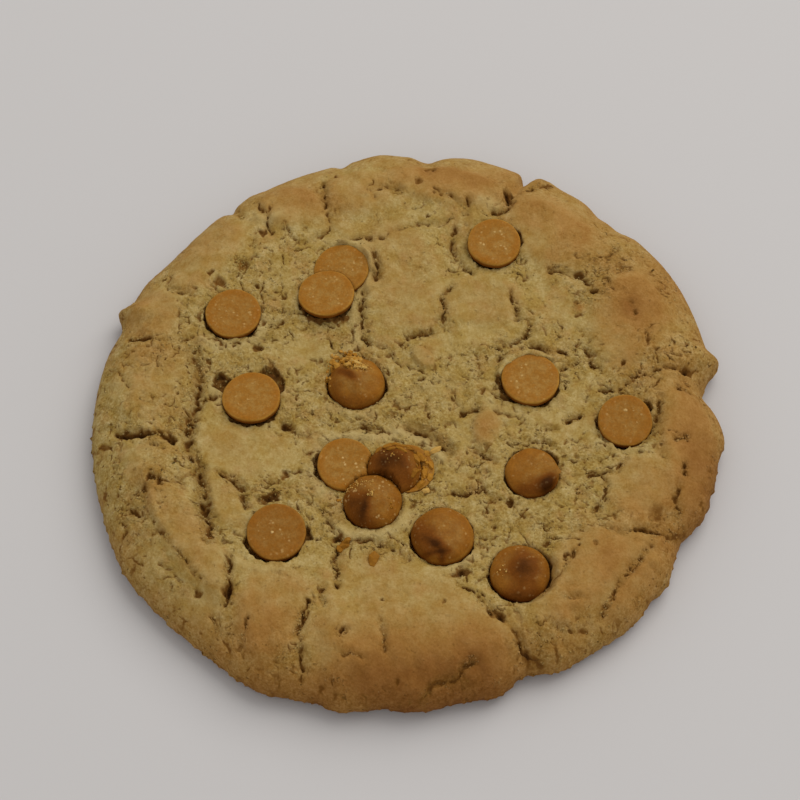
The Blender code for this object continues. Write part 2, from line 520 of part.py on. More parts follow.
def make_dough(collection, material):
    """The baked round: a grid drawn out to the outline, raised to the crust, and closed underneath."""
    shape = bmesh.new()
    bmesh.ops.create_grid(shape, x_segments=CELLS, y_segments=CELLS, size=1.0)
    grid = np.array([v.co[:2] for v in shape.verts])
    share, angle = square_to_round(grid[:, 0], grid[:, 1])
    share = (1.0 + RIM_FINER) * share - RIM_FINER * share**RIM_FINER_POWER
    reach = share * edge_radius(angle)
    x = OUTLINE_CENTRE[0] + reach * np.cos(angle)
    y = OUTLINE_CENTRE[1] + reach * np.sin(angle)
    height = crust_height(x, y)
    for vert, place in zip(shape.verts, zip(x, y, height)):
        vert.co = Vector(place) * MM

    rim = [edge for edge in shape.edges if edge.is_boundary]
    for level, inset in TUCK:
        made = bmesh.ops.extrude_edge_only(shape, edges=rim)["geom"]
        rim = [part for part in made if isinstance(part, bmesh.types.BMEdge)]
        for vert in (part for part in made if isinstance(part, bmesh.types.BMVert)):
            angle = math.atan2(vert.co.y / MM - OUTLINE_CENTRE[1], vert.co.x / MM - OUTLINE_CENTRE[0])
            reach = float(edge_radius(np.array(angle))) - inset
            vert.co.x = (OUTLINE_CENTRE[0] + reach * math.cos(angle)) * MM
            vert.co.y = (OUTLINE_CENTRE[1] + reach * math.sin(angle)) * MM
            vert.co.z = level * MM
    bmesh.ops.contextual_create(shape, geom=rim)
    bmesh.ops.triangulate(shape, faces=shape.faces[:])
    bmesh.ops.recalc_face_normals(shape, faces=shape.faces[:])
    mesh = bpy.data.meshes.new("dough")
    shape.to_mesh(mesh)
    shape.free()
    mesh.materials.append(material)
    dough = bpy.data.objects.new("dough", mesh)
    collection.objects.link(dough)
    fewer = dough.modifiers.new("fewer_faces", "DECIMATE")
    fewer.ratio = FACES_KEPT
    apply_modifiers(dough)
    for vert in dough.data.vertices:
        if vert.co.z < BASE_FLATTEN * MM:
            vert.co.z = 0.0
    return dough


def apply_modifiers(piece):
    """Makes what the modifiers give the piece's own mesh."""
    bpy.context.view_layer.update()
    evaluated = piece.evaluated_get(bpy.context.evaluated_depsgraph_get())
    mesh = bpy.data.meshes.new_from_object(evaluated)
    before = piece.data
    piece.modifiers.clear()
    piece.data = mesh
    bpy.data.meshes.remove(before)
    mesh.name = piece.name


def turned_piece(name, profile, steps, collection, material):
    """A shape turned about Z from a profile of (radius, height) points, top to bottom."""
    mesh = bpy.data.meshes.new(name)
    points = [(radius * MM, 0.0, height * MM) for radius, height in profile]
    mesh.from_pydata(points, [(i, i + 1) for i in range(len(points) - 1)], [])
    piece = bpy.data.objects.new(name, mesh)
    collection.objects.link(piece)
    screw = piece.modifiers.new("turn", "SCREW")
    screw.steps = steps
    screw.render_steps = steps
    screw.use_merge_vertices = True
    screw.merge_threshold = MERGE_DISTANCE * MM
    apply_modifiers(piece)
    face_outwards(piece)
    piece.data.materials.append(material)
    piece.data.shade_smooth()
    return piece


def face_outwards(piece):
    """Merges the points that meet on the axis and turns every face outwards."""
    shape = bmesh.new()
    shape.from_mesh(piece.data)
    bmesh.ops.remove_doubles(shape, verts=shape.verts[:], dist=MERGE_DISTANCE * MM)
    bmesh.ops.recalc_face_normals(shape, faces=shape.faces[:])
    shape.to_mesh(piece.data)
    shape.free()


def grown(profile):
    """A turned profile made larger by the gap: outwards, and away from the height of its widest place."""
    widest = max(radius for radius, _ in profile)
    middle = min(height for radius, height in profile if radius == widest)
    larger = []
    for radius, height in profile:
        out = GAP if radius > 0.0 else 0.0
        up = GAP if height > middle else -GAP
        larger.append((radius + out, height + up))
    return larger


def make_flat_drop(name, is_pocket, collection, material):
    """A drop that lies with its flat base up, tilted a little, or the cutter for its pocket."""
    x, y, radius, top, tilt_x, tilt_y = FLAT_DROPS[name]
    side = FLAT_POCKET_SIDE if is_pocket else FLAT_SIDE
    profile = [(radius * share, depth) for share, depth in side]
    if is_pocket:
        piece = turned_piece(name + "_pocket", grown(profile), POCKET_STEPS, collection, material)
    else:
        piece = turned_piece(name, profile, DROP_STEPS, collection, material)
    tilt = Matrix.Rotation(math.radians(tilt_x), 4, "X") @ Matrix.Rotation(math.radians(tilt_y), 4, "Y")
    piece.data.transform(tilt)
    piece.location = Vector((x, y, top)) * MM
    return piece


def make_pointed_drop(name, is_pocket, collection, material):
    """A drop with its point up, which leans to one side, or the cutter for its pocket."""
    x, y, radius, base, tip, lean_x, lean_y = POINTED_DROPS[name]
    profile = [(radius * share, tip * rise) for share, rise in POINTED_SIDE]
    if is_pocket:
        piece = turned_piece(name + "_pocket", grown(profile), POCKET_STEPS, collection, material)
    else:
        piece = turned_piece(name, profile, DROP_STEPS, collection, material)
    for vert in piece.data.vertices:
        lean = max(vert.co.z / (tip * MM), 0.0) ** TIP_LEAN_POWER
        vert.co.x += lean_x * MM * lean
        vert.co.y += lean_y * MM * lean
    piece.location = Vector((x, y, base)) * MM
    return piece


def make_drop(name, is_pocket, collection, material):
    if name in FLAT_DROPS:
        return make_flat_drop(name, is_pocket, collection, material)
    return make_pointed_drop(name, is_pocket, collection, material)


def cut(piece, cutter):
    """Takes a cutter's shape out of a piece, for good."""
    difference = piece.modifiers.new("cut", "BOOLEAN")
    difference.operation = "DIFFERENCE"
    difference.object = cutter
    difference.solver = "EXACT"
    apply_modifiers(piece)


def main():
    clear_scene()
    cookie = new_collection("salted_caramel_cookie")
    cutters = new_collection("cutters")
    baked_dough = new_material("baked_dough", DOUGH_COLOUR, DOUGH_ROUGHNESS)
    caramel = new_material("caramel", CARAMEL_COLOUR, CARAMEL_ROUGHNESS)

    dough = make_dough(cookie, baked_dough)
    names = list(FLAT_DROPS | POINTED_DROPS)
    drops = {name: make_drop(name, False, cookie, caramel) for name in names}
    pockets = {name: make_drop(name, True, cutters, caramel) for name in names}
    for pocket in pockets.values():
        pocket.hide_render = True
        pocket.display_type = "WIRE"
    for name, above in PRESSED_BY.items():
        for upper in above:
            cut(drops[name], pockets[upper])
    for pocket in pockets.values():
        cut(dough, pocket)
    for piece in cookie.objects:
        piece.data.set_sharp_from_angle(angle=math.radians(SMOOTH_ANGLE))


main()
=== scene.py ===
"""The looks of a salted caramel cookie: a cracked, baked round with caramel drops in its top.

Sizes are in millimetres and become metres as each mesh is made. +X is to the right, +Y away from
the camera and +Z up, and the cookie rests on the plane z = 0.
"""

import math

import bpy
import numpy as np
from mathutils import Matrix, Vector, noise
from mathutils.bvhtree import BVHTree


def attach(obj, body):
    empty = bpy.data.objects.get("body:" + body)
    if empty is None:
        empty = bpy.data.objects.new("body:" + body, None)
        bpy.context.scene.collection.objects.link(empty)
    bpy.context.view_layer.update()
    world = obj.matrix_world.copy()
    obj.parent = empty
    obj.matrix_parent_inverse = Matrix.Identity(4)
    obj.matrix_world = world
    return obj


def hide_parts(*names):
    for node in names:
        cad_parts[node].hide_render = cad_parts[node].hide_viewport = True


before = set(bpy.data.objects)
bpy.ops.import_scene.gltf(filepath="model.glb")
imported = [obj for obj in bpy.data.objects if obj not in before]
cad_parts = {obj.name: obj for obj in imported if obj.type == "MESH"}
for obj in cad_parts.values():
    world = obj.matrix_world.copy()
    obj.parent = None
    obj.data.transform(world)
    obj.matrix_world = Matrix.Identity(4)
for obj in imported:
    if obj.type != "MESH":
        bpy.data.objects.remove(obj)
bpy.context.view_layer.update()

MM = 0.001


# Dough
# The baked round: a soft dough that spread in the oven, cracked as its skin set, and browned most
# on its rim and on its raised plates. Drops were pressed in before baking, so it wells up round
# them. It is one fine height field, closed underneath by a flat base.

# The loaf: its size, and how far and which way its outline is oval
RADIUS = 52.3
THICKNESS = 8.9
OUTLINE_CENTRE = (-0.36, -0.28)
OVAL = 0.85
OVAL_TURN = 45.0

# Its side is widest low down, its shoulder is round, its rim swells and its middle dips
WIDEST_HEIGHT = 2.6
SHOULDER = 8.5
RIM_SWELL = 0.9
RIM_SWELL_INSET = 11.0
RIM_SWELL_SPREAD = 6.0
MIDDLE_DIP = 0.7
MIDDLE_DIP_SPREAD = 24.0

# Under the widest line the side tucks in to the base: (height, inset) of each loop
TUCK = ((2.1, 0.05), (1.5, 0.3), (1.0, 0.6), (0.6, 1.0), (0.25, 1.6), (0.0, 2.2), (0.0, 8.0), (0.0, 20.0))

# Lobes and nicks of the edge: (angle in degrees, reach outwards, half width in degrees)
EDGE_LOBES = (
    (4.8, -2.35, 3.6),
    (11.5, 1.6, 2.0),
    (30.0, 0.6, 11.0),
    (44.5, -0.9, 2.2),
    (49.0, -1.0, 3.0),
    (62.3, 0.5, 2.5),
    (65.4, -2.4, 1.2),
    (77.0, 0.6, 5.0),
    (85.5, -1.3, 2.4),
    (95.0, 0.8, 4.0),
    (102.6, -0.7, 1.4),
    (122.0, 0.4, 2.0),
    (127.0, -0.9, 1.3),
    (140.0, -0.6, 9.0),
    (150.0, 0.4, 4.0),
    (157.5, 1.6, 1.8),
    (161.5, -0.6, 3.0),
    (212.0, 0.7, 8.0),
    (243.5, 1.2, 5.5),
    (258.5, 0.6, 2.5),
    (266.0, -0.6, 2.5),
    (280.0, -0.6, 5.0),
    (292.5, -1.9, 3.8),
    (314.0, 0.7, 7.0),
    (324.0, 0.6, 2.5),
    (332.5, -1.15, 4.2),
    (340.0, 0.65, 2.6),
    (346.0, 0.7, 5.0),
    (355.0, 1.2, 4.0),
)

# A plate is level to this share of its half sizes, and its slope ends at this one
PLATE_FLAT_SHARE = 0.75
PLATE_FOOT_SHARE = 1.25
# Plates that stand up between the cracks: (x, y, half length, half width, turn in degrees, rise)
PLATES = (
    (-1.2, 24.5, 10.5, 7.0, 95.0, 0.7),
    (-0.5, -41.0, 16.0, 12.0, -25.0, 1.0),
    (46.5, -9.5, 12.5, 4.5, 95.0, 0.8),
    (-43.0, 4.0, 8.5, 6.5, 90.0, 0.7),
    (-43.0, 17.0, 5.0, 4.5, 60.0, 0.4),
    (-42.5, -10.0, 5.5, 4.5, 90.0, 0.6),
    (-36.0, -24.0, 12.5, 3.6, -58.0, 1.1),
    (-30.0, -17.5, 6.0, 2.6, -65.0, 0.5),
    (-27.0, -9.0, 7.5, 5.0, 0.0, 0.4),
    (-21.5, -37.5, 8.5, 5.5, 80.0, 0.7),
    (12.0, 20.0, 7.0, 5.0, 0.0, 0.4),
    (24.5, 33.0, 8.0, 6.0, -40.0, 0.6),
    (37.0, 16.0, 9.5, 6.0, 75.0, 0.6),
    (38.0, -16.0, 6.5, 5.5, 0.0, 0.5),
    (27.0, -31.5, 9.0, 5.0, 50.0, 0.6),
    (36.5, -34.5, 8.0, 3.0, 55.0, 0.7),
    (-20.5, 38.5, 5.5, 4.5, -15.0, 0.7),
    (-34.5, 28.5, 8.5, 4.5, 55.0, 0.5),
    (6.0, 43.0, 9.0, 4.0, -10.0, 0.7),
    (-8.5, 41.5, 5.5, 4.5, 0.0, 0.5),
    (13.0, -4.6, 3.2, 2.2, 80.0, 0.7),
    (2.6, 8.8, 2.6, 1.4, -50.0, 0.9),
)

# How far a crack wanders off its route and over what length, the same as in the solid
CRACK_WANDER = 0.4
CRACK_WANDER_SIZE = 4.5
WANDER_LAYERS = (7.5, 9.5)
# Kinds of crack: half width, depth, how open it is, and how much of its depth is a soft valley
CRACK_KINDS = {
    "wide": (1.0, 2.0, 1.4, 0.3),
    "clear": (0.9, 1.6, 1.15, 0.34),
    "open": (0.8, 1.4, 0.95, 0.36),
    "thin": (0.65, 1.0, 0.65, 0.38),
    "deep": (1.4, 2.0, 0.75, 0.48),
}
# Cracks that opened as the dough spread: (kind, route)
CRACKS = (
    # Top left
    ("open", ((-26.2, 40.0), (-25.2, 37.8), (-24.3, 36.5), (-24.4, 34.3), (-23.4, 32.4))),
    ("thin", ((-23.4, 38.8), (-24.3, 36.5))),
    ("thin", ((-26.0, 33.1), (-26.6, 30.4), (-26.5, 28.2))),
    ("open", ((-29.5, 39.3), (-28.7, 36.7))),
    ("thin", ((-26.5, 28.2), (-28.1, 25.5), (-29.6, 23.7))),
    ("thin", ((-23.4, 32.4), (-21.3, 33.5), (-19.6, 31.6))),
    ("thin", ((-19.6, 31.6), (-18.0, 30.7), (-16.5, 31.3), (-14.5, 32.7), (-13.3, 33.9))),
    ("open", ((-14.8, 43.2), (-14.2, 40.5), (-14.2, 38.6), (-13.7, 36.7))),
    ("thin", ((-13.7, 36.7), (-13.3, 33.9))),
    ("open", ((-11.2, 31.3), (-9.5, 31.7), (-7.3, 31.9), (-6.2, 31.2))),
    (
        "thin",
        (
            (-7.3, 31.9), (-4.2, 31.8), (-3.2, 32.9), (-0.8, 33.9),
            (1.3, 34.5), (3.0, 35.1), (5.6, 34.9), (7.8, 36.0),
        ),
    ),
    # Round the middle plate
    ("clear", ((-6.1, 29.4), (-5.4, 27.2), (-5.0, 25.3), (-5.2, 23.9))),
    ("clear", ((-7.4, 21.1), (-7.9, 18.8), (-8.0, 16.2), (-7.7, 13.4), (-6.8, 11.8))),
    ("thin", ((-6.8, 11.8), (-5.1, 11.4), (-3.6, 10.3), (-2.6, 8.2), (-1.1, 7.4))),
    ("open", ((8.2, 33.9), (7.8, 32.0), (7.6, 30.0), (8.5, 28.2), (9.3, 26.2), (11.0, 25.4))),
    ("open", ((7.2, 22.3), (5.7, 20.1), (6.5, 17.8), (5.8, 15.3))),
    ("thin", ((5.8, 15.3), (4.1, 13.9))),
    ("clear", ((4.1, 13.9), (2.1, 13.6), (-0.1, 12.8))),
    # Top right
    ("clear", ((17.2, 41.4), (17.5, 39.2), (16.8, 37.3), (14.7, 36.6))),
    ("clear", ((21.1, 42.3), (23.1, 43.4), (25.1, 44.1))),
    ("thin", ((4.8, 40.6), (7.3, 39.8), (9.1, 38.6))),
    ("open", ((10.3, 39.4), (9.9, 36.7))),
    ("thin", ((-5.6, 40.0), (-6.1, 41.7), (-3.0, 42.1), (-0.8, 41.2))),
    ("thin", ((23.9, 25.4), (26.4, 24.9), (28.1, 24.1))),
    ("open", ((28.1, 24.1), (29.8, 23.6), (30.9, 22.6))),
    ("clear", ((30.5, 21.1), (32.9, 21.1), (34.0, 22.6))),
    ("open", ((35.6, 25.6), (38.0, 25.7))),
    ("thin", ((35.3, 30.0), (33.9, 26.8))),
    ("thin", ((40.9, 12.8), (40.0, 10.4))),
    ("thin", ((37.5, 18.6), (38.1, 16.5))),
    # Round the upper right drop
    ("open", ((17.5, 20.9), (18.2, 18.7), (18.4, 15.8))),
    ("clear", ((20.8, 15.4), (19.5, 12.7), (17.3, 11.3), (15.0, 10.6))),
    ("clear", ((20.5, 11.3), (23.3, 9.5))),
    ("open", ((28.1, 7.6), (25.9, 6.6))),
    # Right
    ("open", ((29.7, 10.4), (30.6, 8.3), (31.1, 6.7), (32.2, 6.3))),
    ("clear", ((32.4, 2.1), (34.7, 2.4), (36.6, 3.4))),
    ("open", ((37.9, 4.6), (40.8, 5.4), (43.8, 6.5))),
    ("open", ((43.8, 6.5), (46.4, 6.2), (48.4, 7.0), (49.3, 5.0))),
    ("clear", ((45.1, 2.5), (46.8, 2.1))),
    ("open", ((41.9, 0.7), (41.2, -2.1), (40.3, -4.9), (38.9, -7.2))),
    ("open", ((15.4, 8.7), (14.7, 6.9))),
    # Middle
    ("thin", ((6.5, 3.0), (7.5, 0.9), (8.5, -1.0))),
    ("wide", ((8.8, -1.9), (10.1, -1.7), (11.5, -1.2))),
    ("wide", ((26.3, -3.1), (28.3, -2.5))),
    ("thin", ((22.6, -4.7), (24.4, -4.7))),
    ("deep", ((0.4, -4.5), (2.2, -5.4), (3.8, -6.4), (5.3, -7.5), (6.8, -8.5))),
    ("open", ((-10.7, -5.1), (-8.5, -4.5), (-6.7, -4.7), (-4.9, -5.3), (-2.9, -5.3))),
    ("wide", ((-20.6, -3.7), (-19.4, -4.5))),
    ("thin", ((-19.4, -4.5), (-18.2, -5.8), (-16.9, -6.3))),
    ("open", ((11.3, -9.4), (12.6, -10.0), (14.1, -11.0))),
    ("open", ((17.3, -7.8), (19.1, -7.5), (20.9, -7.5), (23.0, -7.5))),
    ("clear", ((7.5, -16.5), (9.3, -17.0), (11.1, -16.5))),
    ("open", ((11.1, -16.5), (12.2, -15.8), (13.3, -17.3), (14.5, -18.2))),
    ("thin", ((14.5, -18.2), (16.2, -18.7), (17.5, -18.6))),
    # Lower right
    ("open", ((29.2, -14.0), (31.8, -13.5), (34.1, -13.5), (35.3, -11.5))),
    ("open", ((31.8, -14.1), (32.3, -16.4), (31.4, -18.8), (29.7, -20.5))),
    ("thin", ((29.7, -20.5), (30.9, -22.8), (32.8, -24.0), (34.5, -24.6), (36.7, -23.7))),
    ("wide", ((36.7, -23.7), (39.0, -23.7), (41.2, -23.3), (42.9, -23.7))),
    ("wide", ((42.9, -23.7), (45.0, -21.9))),
    ("open", ((43.5, -7.6), (46.0, -7.2))),
    ("clear", ((45.0, -11.8), (44.9, -13.4))),
    ("clear", ((44.3, -15.5), (43.7, -17.6), (44.0, -19.7))),
    ("open", ((38.9, -26.3), (37.2, -28.5), (35.9, -30.4), (34.2, -32.3), (33.2, -34.0))),
    ("open", ((36.2, -28.9), (34.5, -31.8), (33.0, -34.3), (31.7, -36.6), (30.4, -38.4))),
    ("open", ((22.9, -40.3), (24.5, -40.8), (26.1, -40.8), (28.2, -40.4))),
    ("thin", ((25.2, -35.8), (27.6, -35.7))),
    ("thin", ((26.4, -28.2), (25.5, -30.2), (24.4, -31.9), (22.4, -34.0))),
    ("open", ((8.0, -33.6), (9.2, -34.3), (10.5, -35.3), (11.9, -36.8))),
    ("open", ((11.9, -36.8), (13.3, -38.4))),
    ("thin", ((14.5, -39.4), (16.5, -40.9), (17.5, -42.7))),
    ("wide", ((17.5, -42.7), (18.3, -44.1), (19.5, -44.5), (21.3, -45.4))),
    ("open", ((22.6, -42.4), (23.1, -43.4), (23.7, -44.3))),
    # Bottom
    (
        "wide",
        ((2.2, -51.4), (3.1, -50.5), (4.1, -49.6), (6.1, -49.1), (8.1, -48.7), (8.6, -47.4), (10.0, -46.3)),
    ),
    ("clear", ((8.5, -48.6), (9.1, -49.7))),
    ("open", ((-11.2, -26.7), (-10.0, -25.8), (-8.2, -25.4), (-5.6, -25.4), (-2.9, -26.5))),
    ("clear", ((-2.9, -26.5), (-1.6, -27.4), (0.0, -29.0))),
    ("thin", ((-18.0, -16.4), (-15.9, -18.7), (-14.2, -20.0), (-13.1, -21.5), (-11.4, -25.1))),
    ("open", ((-11.2, -26.7), (-11.7, -28.5), (-12.0, -29.9))),
    ("clear", ((-11.8, -29.6), (-11.2, -31.4), (-11.3, -34.1))),
    ("open", ((-13.5, -34.0), (-14.0, -35.1), (-13.5, -37.1))),
    ("wide", ((-16.0, -36.4), (-16.6, -38.7), (-17.2, -40.6), (-17.5, -42.2))),
    ("thin", ((-17.5, -42.2), (-16.9, -43.9), (-16.5, -45.0))),
    ("clear", ((-16.7, -44.7), (-16.7, -46.3), (-16.4, -47.7), (-16.5, -48.7))),
    ("clear", ((-11.0, -42.2), (-10.1, -41.7))),
    ("thin", ((-10.2, -46.0), (-8.7, -45.8), (-6.9, -46.3))),
    ("thin", ((-4.4, -40.5), (-3.8, -42.7), (-3.9, -45.0))),
    # Left
    ("wide", ((-46.5, 13.0), (-44.9, 12.3), (-43.3, 11.8))),
    ("open", ((-43.3, 11.8), (-41.1, 11.6), (-39.4, 11.4), (-38.1, 11.6), (-36.1, 12.3))),
    ("deep", ((-36.0, 9.7), (-35.5, 7.6), (-35.1, 5.4), (-34.8, 3.0), (-34.6, 0.5))),
    ("deep", ((-34.6, 0.5), (-35.1, -1.2), (-35.9, -3.3), (-36.3, -6.0))),
    ("wide", ((-47.9, -5.7), (-46.1, -6.1), (-44.8, -5.9), (-43.4, -6.4), (-42.0, -6.3))),
    ("wide", ((-40.6, -6.4), (-39.1, -7.1), (-38.5, -7.3))),
    ("wide", ((-50.8, -7.2), (-49.0, -7.6))),
    ("deep", ((-36.3, -5.0), (-36.2, -7.5), (-35.6, -10.5), (-34.7, -11.7))),
    ("deep", ((-34.2, -12.6), (-33.8, -14.8), (-33.4, -17.1), (-33.3, -19.1))),
    ("deep", ((-33.3, -19.1), (-32.6, -21.5), (-32.0, -23.5), (-31.8, -25.5))),
    ("clear", ((-41.9, -14.7), (-40.2, -15.7), (-38.5, -15.3), (-36.9, -14.8))),
    ("open", ((-41.9, -14.7), (-42.7, -16.4), (-42.7, -18.5))),
    ("thin", ((-42.7, -19.9), (-41.3, -22.1), (-39.6, -24.5))),
    ("thin", ((-39.6, -24.5), (-37.7, -27.0), (-36.3, -28.6), (-34.8, -30.4), (-33.1, -32.8))),
    ("clear", ((-46.8, -19.3), (-45.0, -19.9), (-43.2, -20.6))),
    ("open", ((-46.2, -21.1), (-45.8, -23.5), (-46.7, -24.6))),
    ("clear", ((-49.9, -14.8), (-49.3, -16.5))),
    ("clear", ((-30.9, -13.4), (-29.6, -14.3), (-28.1, -15.0))),
    ("wide", ((-28.1, -15.0), (-26.9, -16.6))),
    ("open", ((-26.7, -17.7), (-26.0, -19.6))),
    ("clear", ((-28.9, -28.7), (-28.9, -30.7), (-28.6, -33.0), (-28.4, -34.9), (-29.2, -37.2))),
    ("thin", ((-30.9, -38.5), (-30.0, -40.4), (-29.0, -42.1), (-27.6, -44.2))),
    ("thin", ((-25.5, -39.4), (-26.1, -41.6), (-26.6, -43.6))),
    ("thin", ((-39.8, -29.3), (-38.1, -30.2), (-36.2, -32.5))),
    ("clear", ((-33.6, 0.6), (-32.1, 1.0))),
    ("thin", ((-40.4, 24.5), (-40.6, 22.4), (-38.7, 21.0), (-36.1, 20.2))),
    ("open", ((-20.2, 16.7), (-21.3, 15.3), (-22.8, 14.4))),
)

# Folds of pale dough that stand up beside the cracks: (height, half width, paleness, route)
FOLDS = (
    (0.85, 0.9, 0.4, ((-12.6, 31.1), (-9.8, 31.3), (-7.8, 31.0), (-6.6, 28.8), (-6.2, 26.0), (-6.9, 23.1))),
    (0.22, 0.8, 0.5, ((-6.9, 23.1), (-8.4, 20.1), (-9.4, 18.0), (-9.0, 14.9), (-8.5, 12.4), (-9.7, 9.7))),
    (0.6, 0.8, 1.0, ((-3.3, -5.6), (-1.3, -5.1), (0.7, -5.8), (2.7, -7.0), (4.3, -8.5), (5.3, -10.3))),
    (0.35, 0.8, 0.8, ((-13.6, -6.5), (-11.1, -6.3), (-8.5, -6.0), (-5.9, -6.2), (-3.3, -5.6))),
    (
        0.35, 0.7, 0.6,
        ((-34.3, 11.9), (-31.9, 10.7), (-29.1, 10.4), (-26.4, 11.4), (-24.5, 13.4), (-24.0, 16.1)),
    ),
    (0.35, 0.7, 0.6, ((-32.5, 2.9), (-32.1, 1.8), (-31.6, 0.3))),
    (
        0.35, 0.8, 0.6,
        ((-11.0, -23.3), (-9.3, -24.5), (-6.8, -24.3), (-3.9, -24.1), (-1.3, -22.5), (0.3, -20.3)),
    ),
    (0.35, 0.8, 0.8, ((7.0, -30.1), (9.0, -29.6), (10.4, -28.3))),
    (0.4, 0.8, 0.6, ((-26.4, 36.2), (-24.1, 35.1), (-21.7, 36.6))),
    (0.4, 0.8, 0.5, ((12.9, 39.4), (14.6, 38.2))),
    (0.3, 0.7, 0.5, ((-14.7, -8.6), (-15.5, -11.2), (-15.6, -14.1), (-14.0, -16.3))),
    (0.3, 0.6, 0.4, ((-12.9, -0.3), (-10.9, -1.7), (-7.9, -2.3), (-5.3, -1.3))),
    (0.25, 0.6, 0.4, ((-1.3, 1.0), (1.2, 2.1), (3.4, 3.6), (4.9, 5.1))),
    (0.25, 0.7, 0.4, ((-29.3, -28.9), (-27.2, -29.8), (-23.9, -30.8), (-20.4, -30.6))),
    (0.3, 0.7, 0.5, ((31.5, -7.3), (33.9, -8.9), (36.7, -9.3), (39.0, -8.5))),
    (0.25, 0.6, 0.4, ((12.0, 1.3), (15.3, -1.4), (19.4, -2.6), (23.2, -1.5), (25.2, 1.1))),
)

# Hairline cracks of the skin: (depth, route)
HAIRLINES = (
    (0.5, ((-29.8, 38.6), (-28.8, 38.0), (-28.6, 36.4))),
    (0.6, ((-21.2, 34.8), (-20.0, 32.6), (-21.6, 31.4))),
    (0.5, ((-40.4, 24.6), (-40.8, 22.0), (-38.8, 21.9), (-38.2, 21.8))),
    (0.5, ((-36.4, 22.0), (-35.9, 21.2))),
    (0.5, ((-38.8, 19.0), (-37.6, 18.2))),
    (0.5, ((-24.8, 21.0), (-24.3, 19.0), (-24.6, 17.2))),
    (0.6, ((-13.2, 12.4), (-12.4, 10.6))),
    (0.4, ((-16.0, 8.4), (-14.9, 7.4))),
    (0.5, ((-49.0, 7.0), (-47.4, 4.8), (-46.2, 2.4))),
    (0.5, ((-6.3, 43.4), (-6.6, 41.6))),
    (0.5, ((-48.6, -10.5), (-47.4, -11.0))),
    (0.6, ((-44.6, -17.3), (-43.6, -16.8))),
    (0.6, ((-46.8, -20.0), (-45.6, -20.3), (-43.9, -20.2))),
    (0.6, ((-46.4, -23.0), (-46.6, -27.0), (-44.7, -29.2), (-42.2, -27.6))),
    (0.5, ((-40.0, -31.2), (-38.0, -31.6), (-36.6, -32.0))),
    (0.6, ((-38.8, -35.6), (-38.4, -36.6), (-36.4, -36.6))),
    (0.6, ((-31.5, -38.2), (-30.6, -40.2), (-30.2, -41.6))),
    (0.6, ((-33.6, -40.8), (-32.2, -40.0))),
    (0.5, ((-28.8, -42.5), (-28.0, -44.0))),
    (0.6, ((-25.0, -47.0), (-24.4, -48.2))),
    (0.5, ((-22.0, -15.0), (-23.4, -14.6))),
    (0.4, ((-18.6, -6.4), (-18.2, -7.8))),
    (0.5, ((-12.5, -2.0), (-12.2, -3.2))),
    (0.6, ((-8.4, -4.4), (-6.6, -4.8), (-5.0, -4.6))),
    (0.6, ((-14.6, -33.5), (-13.8, -35.8))),
    (0.5, ((-11.6, -41.6), (-10.8, -40.8))),
    (0.5, ((4.4, 41.8), (5.2, 41.0))),
    (0.6, ((2.8, 35.8), (3.6, 36.4), (4.6, 36.2))),
    (0.5, ((4.0, 14.4), (2.4, 14.2), (1.4, 13.2))),
    (0.5, ((23.8, 26.2), (26.0, 26.0), (27.2, 25.2))),
    (0.4, ((28.6, 28.4), (28.8, 27.4))),
    (0.5, ((35.6, 26.8), (36.4, 26.4), (38.0, 26.4))),
    (0.5, ((22.4, 20.4), (23.4, 18.8))),
    (0.5, ((40.0, 12.4), (41.0, 13.8), (42.0, 14.6))),
    (0.5, ((28.6, 10.6), (31.0, 10.9), (33.0, 11.0))),
    (0.6, ((42.0, 3.9), (40.4, 2.4), (41.4, 1.6))),
    (0.5, ((44.8, 3.4), (46.8, 2.4))),
    (0.5, ((25.6, 8.0), (27.0, 7.6))),
    (0.6, ((9.2, -1.8), (10.4, -1.2), (11.2, -0.9))),
    (0.5, ((26.0, -2.6), (27.6, -2.6))),
    (0.5, ((22.2, -4.4), (24.2, -4.2))),
    (0.5, ((26.0, -7.2), (28.0, -6.8), (29.0, -5.8))),
    (0.6, ((42.6, -6.4), (43.6, -6.8))),
    (0.5, ((10.4, -9.2), (12.8, -10.4))),
    (0.6, ((28.8, -13.4), (30.2, -13.2))),
    (0.6, ((31.6, -12.6), (34.6, -12.4))),
    (0.5, ((33.0, -19.4), (34.2, -19.6))),
    (0.6, ((22.2, -25.2), (24.0, -25.4), (26.0, -25.6), (27.4, -26.0))),
    (0.7, ((10.6, -34.6), (11.6, -35.6), (12.4, -36.0))),
    (0.5, ((22.8, -42.6), (23.4, -44.6))),
    (0.4, ((5.4, -36.6), (5.2, -37.6))),
    (0.6, ((9.4, -46.6), (8.4, -48.4), (8.6, -49.8))),
    (0.5, ((-3.4, -13.6), (-2.6, -14.6))),
    (0.5, ((14.4, -1.6), (19.0, -3.6), (19.6, -4.6))),
)

